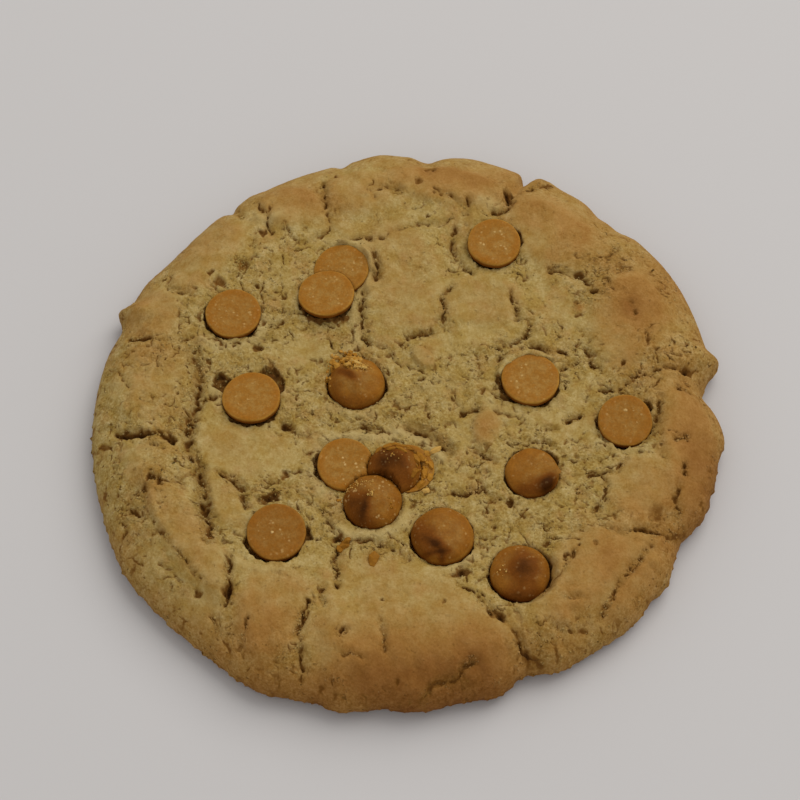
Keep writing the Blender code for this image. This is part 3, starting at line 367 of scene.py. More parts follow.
# Open holes in the crust: (x, y, half length, half width, turn in degrees, depth)
HOLES = (
    (-25.1, 10.3, 0.7, 0.5, 0.0, 1.3),
    (25.8, 9.5, 0.75, 0.45, 0.0, 1.6),
    (29.1, 17.0, 0.5, 0.5, 0.0, 1.0),
    (-20.0, -13.3, 0.9, 0.6, 20.0, 1.1),
    (-22.5, -17.7, 1.8, 0.9, 30.0, 1.7),
    (8.5, -31.4, 1.3, 0.9, 10.0, 1.6),
    (13.9, -38.9, 1.3, 1.0, 0.0, 1.6),
    (40.2, -21.4, 1.3, 0.8, 20.0, 0.7),
    (3.9, 46.4, 0.9, 0.7, 0.0, 1.0),
    (2.2, 42.9, 0.6, 0.8, 0.0, 0.9),
    (-33.4, -34.8, 0.6, 0.6, 0.0, 1.0),
    (17.5, 40.1, 0.8, 1.6, 0.0, 1.2),
    (-24.9, 32.6, 0.7, 0.5, 0.0, 1.0),
    (-13.9, -50.1, 0.6, 0.5, 0.0, 0.9),
    (-17.8, -47.0, 0.6, 0.5, 0.0, 1.0),
    (-11.3, -24.9, 0.9, 0.7, 0.0, 1.5),
    (-28.6, -34.5, 0.8, 1.2, 0.0, 1.2),
    (46.4, 6.2, 0.8, 0.9, 0.0, 1.3),
    (-30.9, 22.3, 0.7, 0.5, 0.0, 0.8),
    (-32.8, 22.2, 0.6, 0.5, 0.0, 0.8),
    (-1.6, -49.5, 0.5, 0.5, 0.0, 0.9),
    (-44.6, -6.3, 2.9, 0.9, 0.0, 1.3),
    (-39.0, -7.1, 0.9, 0.8, 0.0, 1.3),
    (18.7, -44.4, 1.1, 0.8, -40.0, 1.3),
    (22.3, -26.2, 0.5, 0.4, 0.0, 1.0),
    (25.1, -29.4, 0.35, 0.35, 0.0, 0.9),
    (13.7, -23.6, 0.4, 0.4, 0.0, 0.7),
    (13.1, -30.0, 0.35, 0.35, 0.0, 0.7),
    (11.9, -26.7, 0.4, 0.35, 0.0, 0.8),
    (17.2, -26.0, 0.4, 0.3, 0.0, 0.7),
    (27.2, -26.9, 0.35, 0.3, 0.0, 0.7),
    (30.3, -26.8, 0.4, 0.3, 0.0, 0.7),
    (-14.6, 7.9, 0.35, 0.5, 0.0, 0.8),
    (-12.7, 11.4, 0.3, 0.4, 0.0, 0.7),
    (-25.4, 22.0, 0.4, 0.4, 0.0, 0.7),
    (-21.1, 20.2, 0.5, 0.4, 0.0, 0.8),
    (-34.9, 16.2, 0.5, 1.1, 0.0, 0.9),
    (-4.0, -36.6, 0.5, 0.25, 0.0, 0.6),
)

# Small pits in the skin: (x, y, half width, depth)
PITS = (
    (-25.7, 22.4, 0.4, 0.8),
    (-25.0, 10.5, 0.4, 1.0),
    (-29.5, 10.8, 0.3, 0.6),
    (-33.5, 24.5, 0.4, 0.7),
    (-12.6, 44.6, 0.4, 0.7),
    (-50.2, -7.4, 0.6, 0.8),
    (-33.4, -34.8, 0.5, 0.8),
    (-20.3, -4.2, 0.6, 1.2),
    (-20.2, -13.2, 0.5, 0.5),
    (-16.3, -23.2, 0.4, 1.0),
    (-1.6, -49.6, 0.4, 0.8),
    (8.2, 33.8, 0.4, 0.7),
    (25.4, 9.8, 0.5, 1.2),
    (36.0, 7.2, 0.4, 0.8),
    (25.2, -28.7, 0.35, 0.9),
    (13.8, -23.2, 0.35, 0.7),
    (40.2, -20.6, 1.2, 0.5),
    (16.6, -18.4, 0.7, 1.0),
    (29.0, 24.4, 0.6, 1.0),
    (-31.9, 23.2, 0.9, 0.7),
    (-28.0, 26.4, 1.0, 0.6),
)

# Caramel drops with the flat base up: name -> (x, y, base radius, top height, tilt x, tilt y)
FLAT_DROPS = {
    "left_upper": (-29.4, 16.75, 4.7, 9.9, 0.0, 1.0),
    "pair_lower": (-13.75, 20.4, 4.75, 10.3, -6.0, -3.0),
    "pair_upper": (-11.25, 25.8, 4.7, 9.5, 1.0, -4.0),
    "top_right": (14.8, 30.6, 4.55, 10.3, 4.0, 1.0),
    "left_middle": (-25.9, 0.7, 4.85, 9.7, -4.0, -1.0),
    "right_upper": (20.4, 4.2, 4.85, 9.7, 0.0, 1.0),
    "right_outer": (35.8, -3.8, 4.5, 9.9, 7.0, 2.0),
    "centre_flat": (-10.2, -11.6, 4.6, 9.2, 5.0, 1.0),
    "left_lower": (-21.2, -24.2, 4.8, 9.8, 7.0, 2.0),
    "centre_under": (0.0, -12.2, 4.4, 8.9, 0.0, 6.0),
}

# Caramel drops with the point up: name -> (x, y, base radius, base height, tip height, lean x, y)
POINTED_DROPS = {
    "crumbled": (-8.5, 4.15, 4.8, 8.3, 2.4, -0.4, 0.6),
    "centre_dark": (-2.2, -12.4, 4.45, 9.2, 2.2, 0.8, 1.4),
    "centre_front": (-5.7, -18.2, 4.8, 8.9, 2.4, -0.2, 0.4),
    "right_leaning": (20.3, -13.0, 4.45, 9.0, 1.7, 3.4, -1.0),
    "lower_middle": (5.6, -24.5, 5.1, 9.1, 1.9, -0.8, -2.2),
    "lower_right": (17.9, -31.1, 4.9, 9.1, 1.8, 0.9, 0.4),
}

# Where one drop lies over another, the lower one is pressed in round it
PRESSED_BY = {
    "pair_upper": ("pair_lower",),
    "centre_flat": ("centre_front", "centre_dark"),
    "centre_under": ("centre_front", "centre_dark"),
    "centre_dark": ("centre_front",),
}

# Where the dough drew back from a drop: name -> (from angle, to angle, gap)
GAPS = {
    "left_lower": ((185, 268, 0.7), (-12, 14, 1.2), (280, 320, 0.4)),
    "left_middle": ((15, 78, 1.7), (132, 166, 2.4), (205, 345, 0.4)),
    "left_upper": ((160, 262, 0.45), (300, 330, 0.3)),
    "top_right": ((-5, 36, 0.5), (215, 250, 0.3)),
    "right_upper": ((158, 238, 0.8), (285, 345, 0.35)),
    "right_outer": ((22, 48, 0.9), (245, 305, 0.6), (165, 200, 0.3)),
    "pair_lower": ((195, 262, 0.5), (286, 318, 1.1)),
    "centre_flat": ((148, 215, 0.7), (100, 130, 0.3)),
    "crumbled": ((155, 225, 0.35), (-40, 15, 0.4)),
    "centre_front": ((190, 250, 0.3),),
    "right_leaning": ((18, 75, 0.35), (185, 240, 0.35), (95, 150, 0.25)),
    "lower_middle": ((170, 230, 0.35), (300, 350, 0.3)),
    "lower_right": ((-30, 60, 0.35), (170, 290, 0.4)),
}
# Where a thin film of dough ran over a drop's edge: name -> (middle angle, half range, reach over it)
FILMS = {
    "pair_upper": ((45.0, 45.0, 0.4),),
    "right_upper": ((108.0, 55.0, 0.7),),
}
DROPS = FLAT_DROPS | POINTED_DROPS

# Unevenness of the loaf, the same as the solid's: (height, size, noise layer) of each
LOAF_WAVES = ((0.35, 13.0, 1.5), (0.28, 4.2, 4.5))

NOISE_STEPS = 14
NOISE_REACH = 58.0
noise_tables = {}


def hashed(column, row, seed):
    """A number from 0 to 1 that stays the same for each cell of a grid."""
    wave = np.sin(column * 127.1 + row * 311.7 + seed * 74.7) * 43758.5453
    return wave - np.floor(wave)


def waves(x, y, size, seed):
    """Smooth unevenness, about -1 to 1, with lumps of this size."""
    column = np.floor(x / size)
    row = np.floor(y / size)
    u = x / size - column
    v = y / size - row
    ease_u = u**3 * (u * (u * 6.0 - 15.0) + 10.0)
    ease_v = v**3 * (v * (v * 6.0 - 15.0) + 10.0)

    def slope(across, up):
        angle = math.tau * hashed(column + across, row + up, seed)
        return (u - across) * np.cos(angle) + (v - up) * np.sin(angle)

    low = slope(0, 0) * (1.0 - ease_u) + slope(1, 0) * ease_u
    high = slope(0, 1) * (1.0 - ease_u) + slope(1, 1) * ease_u
    return 1.5 * (low * (1.0 - ease_v) + high * ease_v)


def layered(x, y, layers, start=0.0):
    """A value with layers of waves on it, each of them (height, size, seed)."""
    total = start
    for height, size, seed in layers:
        total = total + height * waves(x, y, size, seed)
    return total


def billowed(x, y, layers):
    """The same layers with their hollows turned up, so that round lumps meet in sharp creases."""
    return sum(height * np.abs(waves(x, y, size, seed)) for height, size, seed in layers)


def shifted(x, y, layers, start=None):
    """Places pushed about by layers of waves, each of them (reach, size, seed for x, seed for y)."""
    to_x, to_y = start or (x, y)
    for reach, size, seed_x, seed_y in layers:
        to_x = to_x + reach * waves(x, y, size, seed_x)
        to_y = to_y + reach * waves(x, y, size, seed_y)
    return to_x, to_y


def scattered(x, y, size, seed):
    """Points, one in each cell: how far the nearest is, how much farther the next, and its number."""
    u = x / size
    v = y / size
    nearest = np.full(x.shape, 9.0)
    second = np.full(x.shape, 9.0)
    number = np.zeros(x.shape)
    for across in (-1, 0, 1):
        for up in (-1, 0, 1):
            column = np.floor(u) + across
            row = np.floor(v) + up
            away = np.hypot(column + hashed(column, row, seed) - u, row + hashed(column, row, seed + 1) - v)
            closer = away < nearest
            second = np.where(closer, nearest, np.minimum(second, away))
            number = np.where(closer, hashed(column, row, seed + 2), number)
            nearest = np.minimum(nearest, away)
    return nearest, second - nearest, number


def smooth_noise(x, y, size, layer):
    """The broad unevenness, the same as that of the solid, read off a fine table of it."""
    step = size / NOISE_STEPS
    cells = math.ceil(NOISE_REACH / step)
    if (size, layer) not in noise_tables:
        line = [number / NOISE_STEPS for number in range(-cells, cells + 2)]
        table = [[noise.noise(Vector((across, up, layer))) for across in line] for up in line]
        noise_tables[size, layer] = np.array(table)
    table = noise_tables[size, layer]
    column = np.floor(x / step).astype(int)
    row = np.floor(y / step).astype(int)
    u = x / step - column
    v = y / step - row
    column = column + cells
    row = row + cells
    low = table[row, column] * (1.0 - u) + table[row, column + 1] * u
    high = table[row + 1, column] * (1.0 - u) + table[row + 1, column + 1] * u
    return low * (1.0 - v) + high * v


def smooth_step(value, start=0.0, width=1.0):
    """Rises smoothly from 0 at the start to 1 over this width."""
    share = np.clip((value - start) / width, 0.0, 1.0)
    return share * share * (3.0 - 2.0 * share)


def bell(share):
    """Falls smoothly from 1 in the middle to about a third at a share of 1."""
    return np.exp(-(share**2))


def blend(first, second, share):
    return first + (second - first) * share


def degrees_off(degrees, middle):
    return np.abs((degrees - middle + 180.0) % 360.0 - 180.0)


def edge_radius(angle):
    degrees = np.degrees(angle)
    radius = RADIUS + OVAL * np.cos(2 * np.radians(degrees - OVAL_TURN))
    for middle, reach, spread in EDGE_LOBES:
        radius = radius + reach * bell(degrees_off(degrees, middle) / spread)
    return radius


def turned(x, y, middle_x, middle_y, turn):
    c = math.cos(math.radians(turn))
    s = math.sin(math.radians(turn))
    dx = x - middle_x
    dy = y - middle_y
    return dx * c + dy * s, dy * c - dx * s


def patch(x, y, middle_x, middle_y, long, wide, turn, power=2):
    """An oval that fades out from 1 in its middle, with a sharper edge the higher the power."""
    u, v = turned(x, y, middle_x, middle_y, turn)
    return np.exp(-((u / long) ** power) - (v / wide) ** power)


def near_route(x, y, route, reach):
    """The places within reach of a route's box."""
    route_x = [point[0] for point in route]
    route_y = [point[1] for point in route]
    inside_x = (x > min(route_x) - reach) & (x < max(route_x) + reach)
    return np.nonzero(inside_x & (y > min(route_y) - reach) & (y < max(route_y) + reach))[0]


def distance_to_route(places, near, route):
    x, y = places[0][near], places[1][near]
    nearest = np.full(x.shape, np.inf)
    for (ax, ay), (bx, by) in zip(route, route[1:]):
        run_x = bx - ax
        run_y = by - ay
        along = ((x - ax) * run_x + (y - ay) * run_y) / (run_x**2 + run_y**2)
        along = np.clip(along, 0.0, 1.0)
        nearest = np.minimum(nearest, np.hypot(x - ax - along * run_x, y - ay - along * run_y))
    return nearest


def raise_to(values, near, here):
    """Lifts the values of these places to at least the ones given."""
    values[near] = np.maximum(values[near], here)


def plates(x, y):
    """How far the crust rises over the plain loaf, and where a raised plate is."""
    rise = sum(height * smooth_noise(x, y, size, layer) for height, size, layer in LOAF_WAVES)
    plate = np.zeros(x.shape)
    for middle_x, middle_y, long, wide, turn, height in PLATES:
        u, v = turned(x, y, middle_x, middle_y, turn)
        down_slope = (PLATE_FOOT_SHARE - np.hypot(u / long, v / wide)) / (PLATE_FOOT_SHARE - PLATE_FLAT_SHARE)
        rise = rise + height * smooth_step(down_slope)
        plate = np.maximum(plate, smooth_step(down_slope))
    return rise, plate


# How the cracks gape more and less along their way, and how ragged their edges are
GAPE = ((0.9, 2.6, 15), (1.1, 1.0, 16))
GAPE_MEAN = 0.5
GAPE_LEAST = 0.03
GAPE_MOST = 1.5
RAGGED = ((0.42, 1.7, 11, 13), (0.26, 0.8, 12, 14), (0.12, 0.4, 35, 36))
CRACK_REACH = 5.0
HAIRLINE_REACH = 3.0

# The raised lip beside a crack: its height as a share of the depth, its distance and its spread
LIP = 0.05
LIP_AWAY = 1.3
LIP_SPREAD = 0.6

# The slit in the middle: its share of the depth, its width, and how much the gape widens it
SLIT_DEPTH = 0.6
SLIT_WIDTH = 0.12
SLIT_WIDENS = 0.19
FULL_GAPE = 0.9
# A crack that is wide open gapes more evenly, and its slit is wider
STEADY_SHARE = 0.7
STEADY_GAPE = 1.1
STEADY_WIDTH = 0.12
HAIRLINE_WIDTH = 0.1
HAIRLINE_WIDENS = 0.08
HAIRLINE_LEAST = 0.3

# The ragged wall of a hole: from where it falls, how broad it is, and the hole's full depth
HOLE_EDGE = 1.45
HOLE_WALL = 1.1
HOLE_RAGGED = ((0.5, 0.9, 43),)
HOLE_DEPTH = 0.85


def cracks(x, y, wandered, ragged):
    """How deep the soft valleys and the ragged slits are, and how high the lips beside them."""
    gape = np.clip(layered(x, y, GAPE, GAPE_MEAN), GAPE_LEAST, GAPE_MOST)
    valley, lip, slit = np.zeros(x.shape), np.zeros(x.shape), np.zeros(x.shape)
    for kind, route in CRACKS:
        half_width, depth, open_share, shallow = CRACK_KINDS[kind]
        near = near_route(x, y, route, CRACK_REACH)
        away = distance_to_route(wandered, near, route)
        raise_to(lip, near, LIP * depth * bell((away - LIP_AWAY * half_width) / LIP_SPREAD))
        raise_to(valley, near, depth * shallow * bell(away / half_width))
        steady = STEADY_SHARE * max(open_share - 1.0, 0.0)
        gape_here = gape[near] * (1.0 - steady) + STEADY_GAPE * steady
        width = half_width * (SLIT_WIDTH + SLIT_WIDENS * gape_here + STEADY_WIDTH * steady)
        opened = SLIT_DEPTH * depth * smooth_step(gape_here * open_share, 0.0, FULL_GAPE)
        raise_to(slit, near, opened * bell(distance_to_route(ragged, near, route) / width))
    for depth, route in HAIRLINES:
        near = near_route(x, y, route, HAIRLINE_REACH)
        width = HAIRLINE_WIDENS * gape[near] + HAIRLINE_WIDTH
        opened = depth * blend(HAIRLINE_LEAST, 1.0, smooth_step(gape[near]))
        raise_to(slit, near, opened * bell(distance_to_route(ragged, near, route) / width))
    uneven = layered(x, y, HOLE_RAGGED)
    for middle_x, middle_y, long, wide, turn, depth in HOLES:
        u, v = turned(*ragged, middle_x, middle_y, turn)
        inside = HOLE_EDGE - np.hypot(u / long, v / wide) + uneven
        slit = slit + HOLE_DEPTH * depth * smooth_step(inside, 0.0, HOLE_WALL) * (0.5 + 0.5 * gape)
    for middle_x, middle_y, wide, depth in PITS:
        away = np.hypot(ragged[0] - middle_x, ragged[1] - middle_y) / wide
        slit = np.maximum(slit, depth * np.exp(-(away**4)))
    return valley, lip, slit


# How far a fold is worked out, how uneven it is along its way, and how far its paleness spreads
FOLD_REACH = 4.0
FOLD_WAVES = ((0.7, 2.4, 46),)
PALE_SPREAD = 1.3


def folds(x, y, ragged):
    """How high the folds beside the cracks stand, and how pale they are."""
    fold, pale = np.zeros(x.shape), np.zeros(x.shape)
    for height, half_width, paleness, route in FOLDS:
        near = near_route(x, y, route, FOLD_REACH)
        away = distance_to_route(ragged, near, route) / half_width
        raise_to(fold, near, height * layered(x[near], y[near], FOLD_WAVES, 0.75) * bell(away))
        raise_to(pale, near, paleness * bell(away / PALE_SPREAD))
    return fold, pale


# Areas between the plates where the skin stayed smooth: (x, y, half length, half width, turn)
SMOOTH_AREAS = (
    (11.5, 17.5, 8.0, 6.0, -10.0),
    (6.5, 11.0, 4.0, 2.5, 0.0),
    (-27.0, -9.0, 9.0, 4.5, 0.0),
    (-20.0, 10.0, 5.0, 4.0, 20.0),
    (24.0, 20.0, 5.0, 5.0, 0.0),
    (-34.0, 6.0, 2.0, 8.0, 0.0),
    (28.0, -4.0, 3.5, 4.0, 0.0),
    (-0.5, -41.0, 14.0, 9.0, -25.0),
    (33.0, -31.0, 9.0, 6.0, 50.0),
    (-33.0, -33.0, 8.0, 7.0, -50.0),
)
# And where it came out grainy
GRAINY_AREAS = (
    (-43.0, 4.0, 7.0, 9.0, 0.0),
    (-42.5, -11.0, 6.0, 6.0, 0.0),
    (-27.0, 12.0, 8.0, 7.0, 0.0),
    (-8.0, -1.0, 9.0, 4.0, -10.0),
)
# It is fully rough in a valley of this depth, and from this far in to the rim
ROUGH_VALLEY = 0.6
ROUGH_RIM = 3.5
ROUGH_WAVES = ((0.5, 6.0, 17),)
ROUGH_MEAN = 0.75
PLATE_SMOOTHER = 0.55
AREA_SMOOTHER = 0.5
AREA_GRAINIER = 0.4
FOLD_SMOOTHER = 0.25
LEAST_ROUGH = 0.12
# Behind this line the crumb is smoother, fully so this much farther back
BACK_FROM = 24.0
BACK_WIDTH = 14.0
BACK_SMOOTHER = 0.45


def roughness(x, y, inset, plate, valley, pale):
    """How rough the crumb is: most so in the valleys, between the plates and on the rim."""
    rough = layered(x, y, ROUGH_WAVES, ROUGH_MEAN - PLATE_SMOOTHER * plate)
    for area in SMOOTH_AREAS:
        rough = rough - AREA_SMOOTHER * patch(x, y, *area, power=4)
    for area in GRAINY_AREAS:
        rough = rough + AREA_GRAINIER * patch(x, y, *area, power=4)
    rough = np.clip(rough, LEAST_ROUGH, 1.0)
    rough = np.maximum(rough, smooth_step(valley, 0.0, ROUGH_VALLEY))
    rough = np.maximum(rough, smooth_step(1.0 - inset / ROUGH_RIM))
    rough = rough * (1.0 - FOLD_SMOOTHER * np.clip(pale, 0.0, 1.0))
    return rough * (1.0 - BACK_SMOOTHER * smooth_step(y, BACK_FROM, BACK_WIDTH))


# Billows, a fine unevenness of the skin, and lumps
BILLOW_SHIFT = ((0.35, 1.3, 18, 19),)
BILLOWS = ((0.55, 2.2, 21), (0.3, 1.15, 22), (0.15, 0.6, 23))
BILLOW_MEAN = 0.22
BILLOW_SHARE = 0.5
SKIN = ((0.03, 0.8, 24),)
LUMPS = ((0.26, 3.1, 41), (0.2, 1.6, 42))
LUMPS_ON_SMOOTH = 0.2

# The front of the rim slumped in the oven and stands in small upright folds
SLUMP_FOLDS = ((0.9, 3.6, 44),)
SLUMP_WAVES = ((0.5, 1.9, 45),)
SLUMP_MEAN = 0.3
SLUMP_REACH = 6.0
SLUMP_LEAST = 0.12
SLUMP_MOST = 1.1
# They close up a little with the distance from the rim
SLUMP_CLOSING = 0.6
SLUMP_CLOSING_LENGTH = 50.0

# Clods of torn crumb with creases between them, and round crumbs stuck to the skin
CLOD_SHIFT = ((0.9, 2.6, 25, 26),)
CLOD_SIZE = 3.4
CLOD_HEIGHT = 0.14
CLOD_EDGE = 4.0
CREASE_WIDTH = 0.5
CREASE_DEPTH = 0.2
CREASE_PATCHES = 5.0
ROUND_CRUMB_CELL = 1.05
ROUND_CRUMB_RADIUS = 0.5
ROUND_CRUMB_HEIGHT = 0.1
ROUND_CRUMBS_LEFT_OUT = 0.45


def crumb_relief(x, y, from_x, from_y, inset, rough):
    """The fine ups and downs of the crumb."""
    warped = shifted(x, y, BILLOW_SHIFT)
    fine = layered(x, y, SKIN, BILLOW_SHARE * rough * (billowed(*warped, BILLOWS) - BILLOW_MEAN))
    fine = fine + (LUMPS_ON_SMOOTH + (1.0 - LUMPS_ON_SMOOTH) * rough) * layered(*warped, LUMPS)

    spread = 1.0 + SLUMP_CLOSING * inset / SLUMP_CLOSING_LENGTH
    around = from_x * spread, from_y * spread
    front_left = smooth_step(0.5 - 0.75 * from_y / RADIUS - 0.45 * from_x / RADIUS)
    slump = layered(*around, SLUMP_WAVES, billowed(*around, SLUMP_FOLDS)) - SLUMP_MEAN
    fine = fine + slump * (SLUMP_LEAST + SLUMP_MOST * front_left) * bell(inset / SLUMP_REACH)

    _, apart, number = scattered(*shifted(x, y, CLOD_SHIFT), CLOD_SIZE, 27)
    crease = bell(apart * CLOD_SIZE / CREASE_WIDTH) * smooth_step(waves(x, y, CREASE_PATCHES, 28), -0.1, 0.35)
    clod = CLOD_HEIGHT * (number - 0.5) * np.clip(apart * CLOD_EDGE, 0.0, 1.0)
    fine = fine + rough * (clod - CREASE_DEPTH * crease)
    away, _, number = scattered(x, y, ROUND_CRUMB_CELL, 29)
    dome = np.sqrt(np.clip(1.0 - (away * ROUND_CRUMB_CELL / ROUND_CRUMB_RADIUS) ** 2, 0.0, 1.0))
    shown = number > ROUND_CRUMBS_LEFT_OUT
    return fine + ROUND_CRUMB_HEIGHT * dome * shown * smooth_step(rough, 0.45, 0.5)


# Two nets of hair cracks, broken into dots: (cell size, depth, seed) of each
NETS = ((4.2, 0.62, 63), (2.3, 0.42, 67))
NET_SHIFT = ((0.7, 2.2, 47, 49), (0.35, 0.9, 48, 62))
NET_DOTS = ((1.2, 1.4, 65), (0.7, 0.6, 66))
NET_DOTS_MEAN = 0.45
NET_WIDTH = 0.09
NET_WIDENS = 0.2
NET_PATCHES = 3.4

# Ragged pores and short splits in the rough crumb
TORN = ((1.0, 1.5, 33), (0.6, 0.7, 34))
PORE_DEPTH = 0.3
SPLIT_SHIFT = ((0.5, 1.3, 37, 38),)
SPLIT_SIZE = 1.9
SPLIT_WIDTH = 0.2
SPLIT_DEPTH = 0.16
SPLIT_PATCHES = 2.4


def hair_cracks(x, y, rough):
    warped = shifted(x, y, NET_SHIFT)
    dotted = np.clip(layered(x, y, NET_DOTS, NET_DOTS_MEAN), 0.0, 1.3)
    net = np.zeros(x.shape)
    for size, depth, seed in NETS:
        _, apart, _ = scattered(*warped, size, seed)
        line = bell(apart * size / (NET_WIDTH + NET_WIDENS * dotted))
        shown = smooth_step(waves(x, y, NET_PATCHES, seed + 1), -0.15, 0.3)
        net = np.maximum(net, depth * line * shown * (0.25 + 0.75 * smooth_step(dotted, 0.25, 0.6)))
    return net * (0.15 + 0.85 * smooth_step(rough, 0.3, 0.4))


def small_pores(x, y, ragged, rough):
    _, apart, _ = scattered(*shifted(x, y, SPLIT_SHIFT), SPLIT_SIZE, 39)
    split = bell(apart * SPLIT_SIZE / SPLIT_WIDTH) * smooth_step(waves(x, y, SPLIT_PATCHES, 40), 0.05, 0.3)
    pores = PORE_DEPTH * smooth_step(layered(*ragged, TORN), 0.9, 0.3) * smooth_step(rough, 0.25, 0.4)
    return np.maximum(pores, SPLIT_DEPTH * split * (0.3 + 0.7 * rough))


# Round a drop the dough banks up, this far out and this steeply, and from here on it fades
BANK_REACH = 1.5
BANK_SLOPE = 1.0
BANK_FADE = 0.5
BANK_WAVES = ((0.3, 1.8, 50), (0.2, 0.8, 51))
# Beyond the bank, a gap may reach out this much farther
WELL_REACH = 1.5

# How far under the drop's base the bank ends, and how much more so at the front and if it is pointed
SINK = 0.36
SINK_AT_FRONT = 0.2
SINK_POINTED = 0.35
FRONT = (-0.3, -0.95)

# The gap between the bank and the drop where GAPS says nothing, and the well in it
CLOSED_GAP = -0.22
GAP_AT_FRONT = 0.2
GAP_RAGGED = 0.22
GAP_WIDE_RAGGED = 0.35
WELL_WALL = 0.22
WELL_DEPTH = 2.0
WELL_BOWL = 2.6
WELL_FLOOR = ((0.7, 1.3, 54), (0.4, 0.6, 55))
WELL_SHADE = ((1.0, 1.0, 56),)

# A film of dough over a drop's edge: its thickness, its waves and its uneven end
FILM_THICKNESS = 0.14
FILM_WAVES = ((0.18, 2.2, 59),)
FILM_EDGE = ((0.3, 1.6, 57), (0.12, 0.6, 58))


def drop_level(name, x, y):
    """The level of a drop's base over each point."""
    if name in FLAT_DROPS:
        middle_x, middle_y, _, top, tilt_x, tilt_y = FLAT_DROPS[name]
        slope_x = math.tan(math.radians(tilt_x))
        slope_y = math.tan(math.radians(tilt_y))
        return top + (y - middle_y) * slope_x - (x - middle_x) * slope_y
    return np.full(x.shape, POINTED_DROPS[name][3])


def sink_drops(x, y, height, opening):
    """Fits the crust round every drop, and says how clear of them each point is."""
    clear = np.ones(x.shape)
    for name, (middle_x, middle_y, radius, *_) in DROPS.items():
        far = np.hypot(x - middle_x, y - middle_y)
        near = np.nonzero(far < radius + BANK_REACH + WELL_REACH)[0]
        far, here = far[near], (x[near], y[near])
        dx, dy = here[0] - middle_x, here[1] - middle_y
        away = far - radius
        front = (dx * FRONT[0] + dy * FRONT[1]) / np.maximum(far, 0.1)
        level = drop_level(name, *here)

        sink = SINK + SINK_AT_FRONT * front + (SINK_POINTED if name in POINTED_DROPS else 0.0)
        bank = level - sink + BANK_SLOPE * np.clip(away, 0.0, BANK_REACH) + layered(*here, BANK_WAVES)
        by_drop = np.clip(1.0 - (away - BANK_FADE) / (BANK_REACH - BANK_FADE), 0.0, 1.0)
        banked = blend(height[near], np.minimum(height[near], bank), by_drop)

        gap = CLOSED_GAP + GAP_AT_FRONT * np.clip(front, -0.3, 1.0)
        degrees = np.degrees(np.arctan2(dy, dx))
        for first, last, wide in GAPS.get(name, ()):
            off = degrees_off(degrees, (first + last) / 2) / ((last - first) / 2)
            gap = np.maximum(gap, wide * np.clip(1.15 - off**4, -0.2, 1.0))
        gap = layered(*here, ((GAP_RAGGED + GAP_WIDE_RAGGED * gap, 1.9, 52), (GAP_RAGGED, 0.8, 53)), gap)
        in_well = smooth_step((gap - away) / WELL_WALL)
        bottom = level - WELL_DEPTH - WELL_BOWL * np.clip(1.0 - far / radius, 0.0, 1.0)
        bottom = layered(*here, WELL_FLOOR, bottom)
        height[near] = blend(banked, np.minimum(banked, bottom), in_well)
        shade = in_well * layered(*here, WELL_SHADE, 1.05)
        opening[near] = np.maximum(opening[near] * (away > 0.0), shade)
        clear[near] = np.minimum(clear[near], smooth_step(away, -0.2, 0.7) * (1.0 - in_well))

        for middle, spread, over in FILMS.get(name, ()):
            off = degrees_off(degrees, middle) / spread
            reach_in = layered(*here, FILM_EDGE, over * np.clip(1.3 - off**2, -0.5, 1.0))
            film = layered(*here, FILM_WAVES, level + FILM_THICKNESS)
            covered = smooth_step((away + reach_in) / 0.3) * smooth_step((1.5 - away) / 1.2) * (off < 1.14)
            height[near] = blend(height[near], np.maximum(height[near], film), covered)
            opening[near] = opening[near] * (1.0 - covered)
    return clear


def crust(x, y):
    """The crust over each point: its height, how open, pale and rough it is, and where it lies."""
    from_x = x - OUTLINE_CENTRE[0]
    from_y = y - OUTLINE_CENTRE[1]
    inset = np.maximum(edge_radius(np.arctan2(from_y, from_x)) - np.hypot(from_x, from_y), 0.0)
    share = np.clip(inset / SHOULDER, 0.0, 1.0)
    rounding = np.sqrt(1.0 - (1.0 - share) ** 2)
    loaf = THICKNESS + RIM_SWELL * bell((inset - RIM_SWELL_INSET) / RIM_SWELL_SPREAD)
    loaf = loaf - MIDDLE_DIP * bell(np.hypot(x, y) / MIDDLE_DIP_SPREAD)
    rise, plate = plates(x, y)

    wander_x, wander_y = (smooth_noise(x, y, CRACK_WANDER_SIZE, layer) for layer in WANDER_LAYERS)
    wandered = x + CRACK_WANDER * wander_x, y + CRACK_WANDER * wander_y
    ragged = shifted(x, y, RAGGED, wandered)
    valley, lip, slit = cracks(x, y, wandered, ragged)
    fold, pale = folds(x, y, ragged)
    rough = roughness(x, y, inset, plate, valley, pale)
    fine = crumb_relief(x, y, from_x, from_y, inset, rough)
    pores = small_pores(x, y, ragged, rough)
    slit = np.maximum(slit, hair_cracks(x, y, rough))

    opening = slit + 0.5 * pores
    height = WIDEST_HEIGHT + (loaf + rise + fine - WIDEST_HEIGHT) * rounding
    height = height + (lip - valley - slit - pores) * rounding**2
    clear = sink_drops(x, y, height, opening)
    return {
        "height": height + fold * clear * rounding,
        "opening": opening,
        "valley": valley,
        "pale": pale,
        "rough": rough,
        "plate": plate,
        "inset": inset,
    }


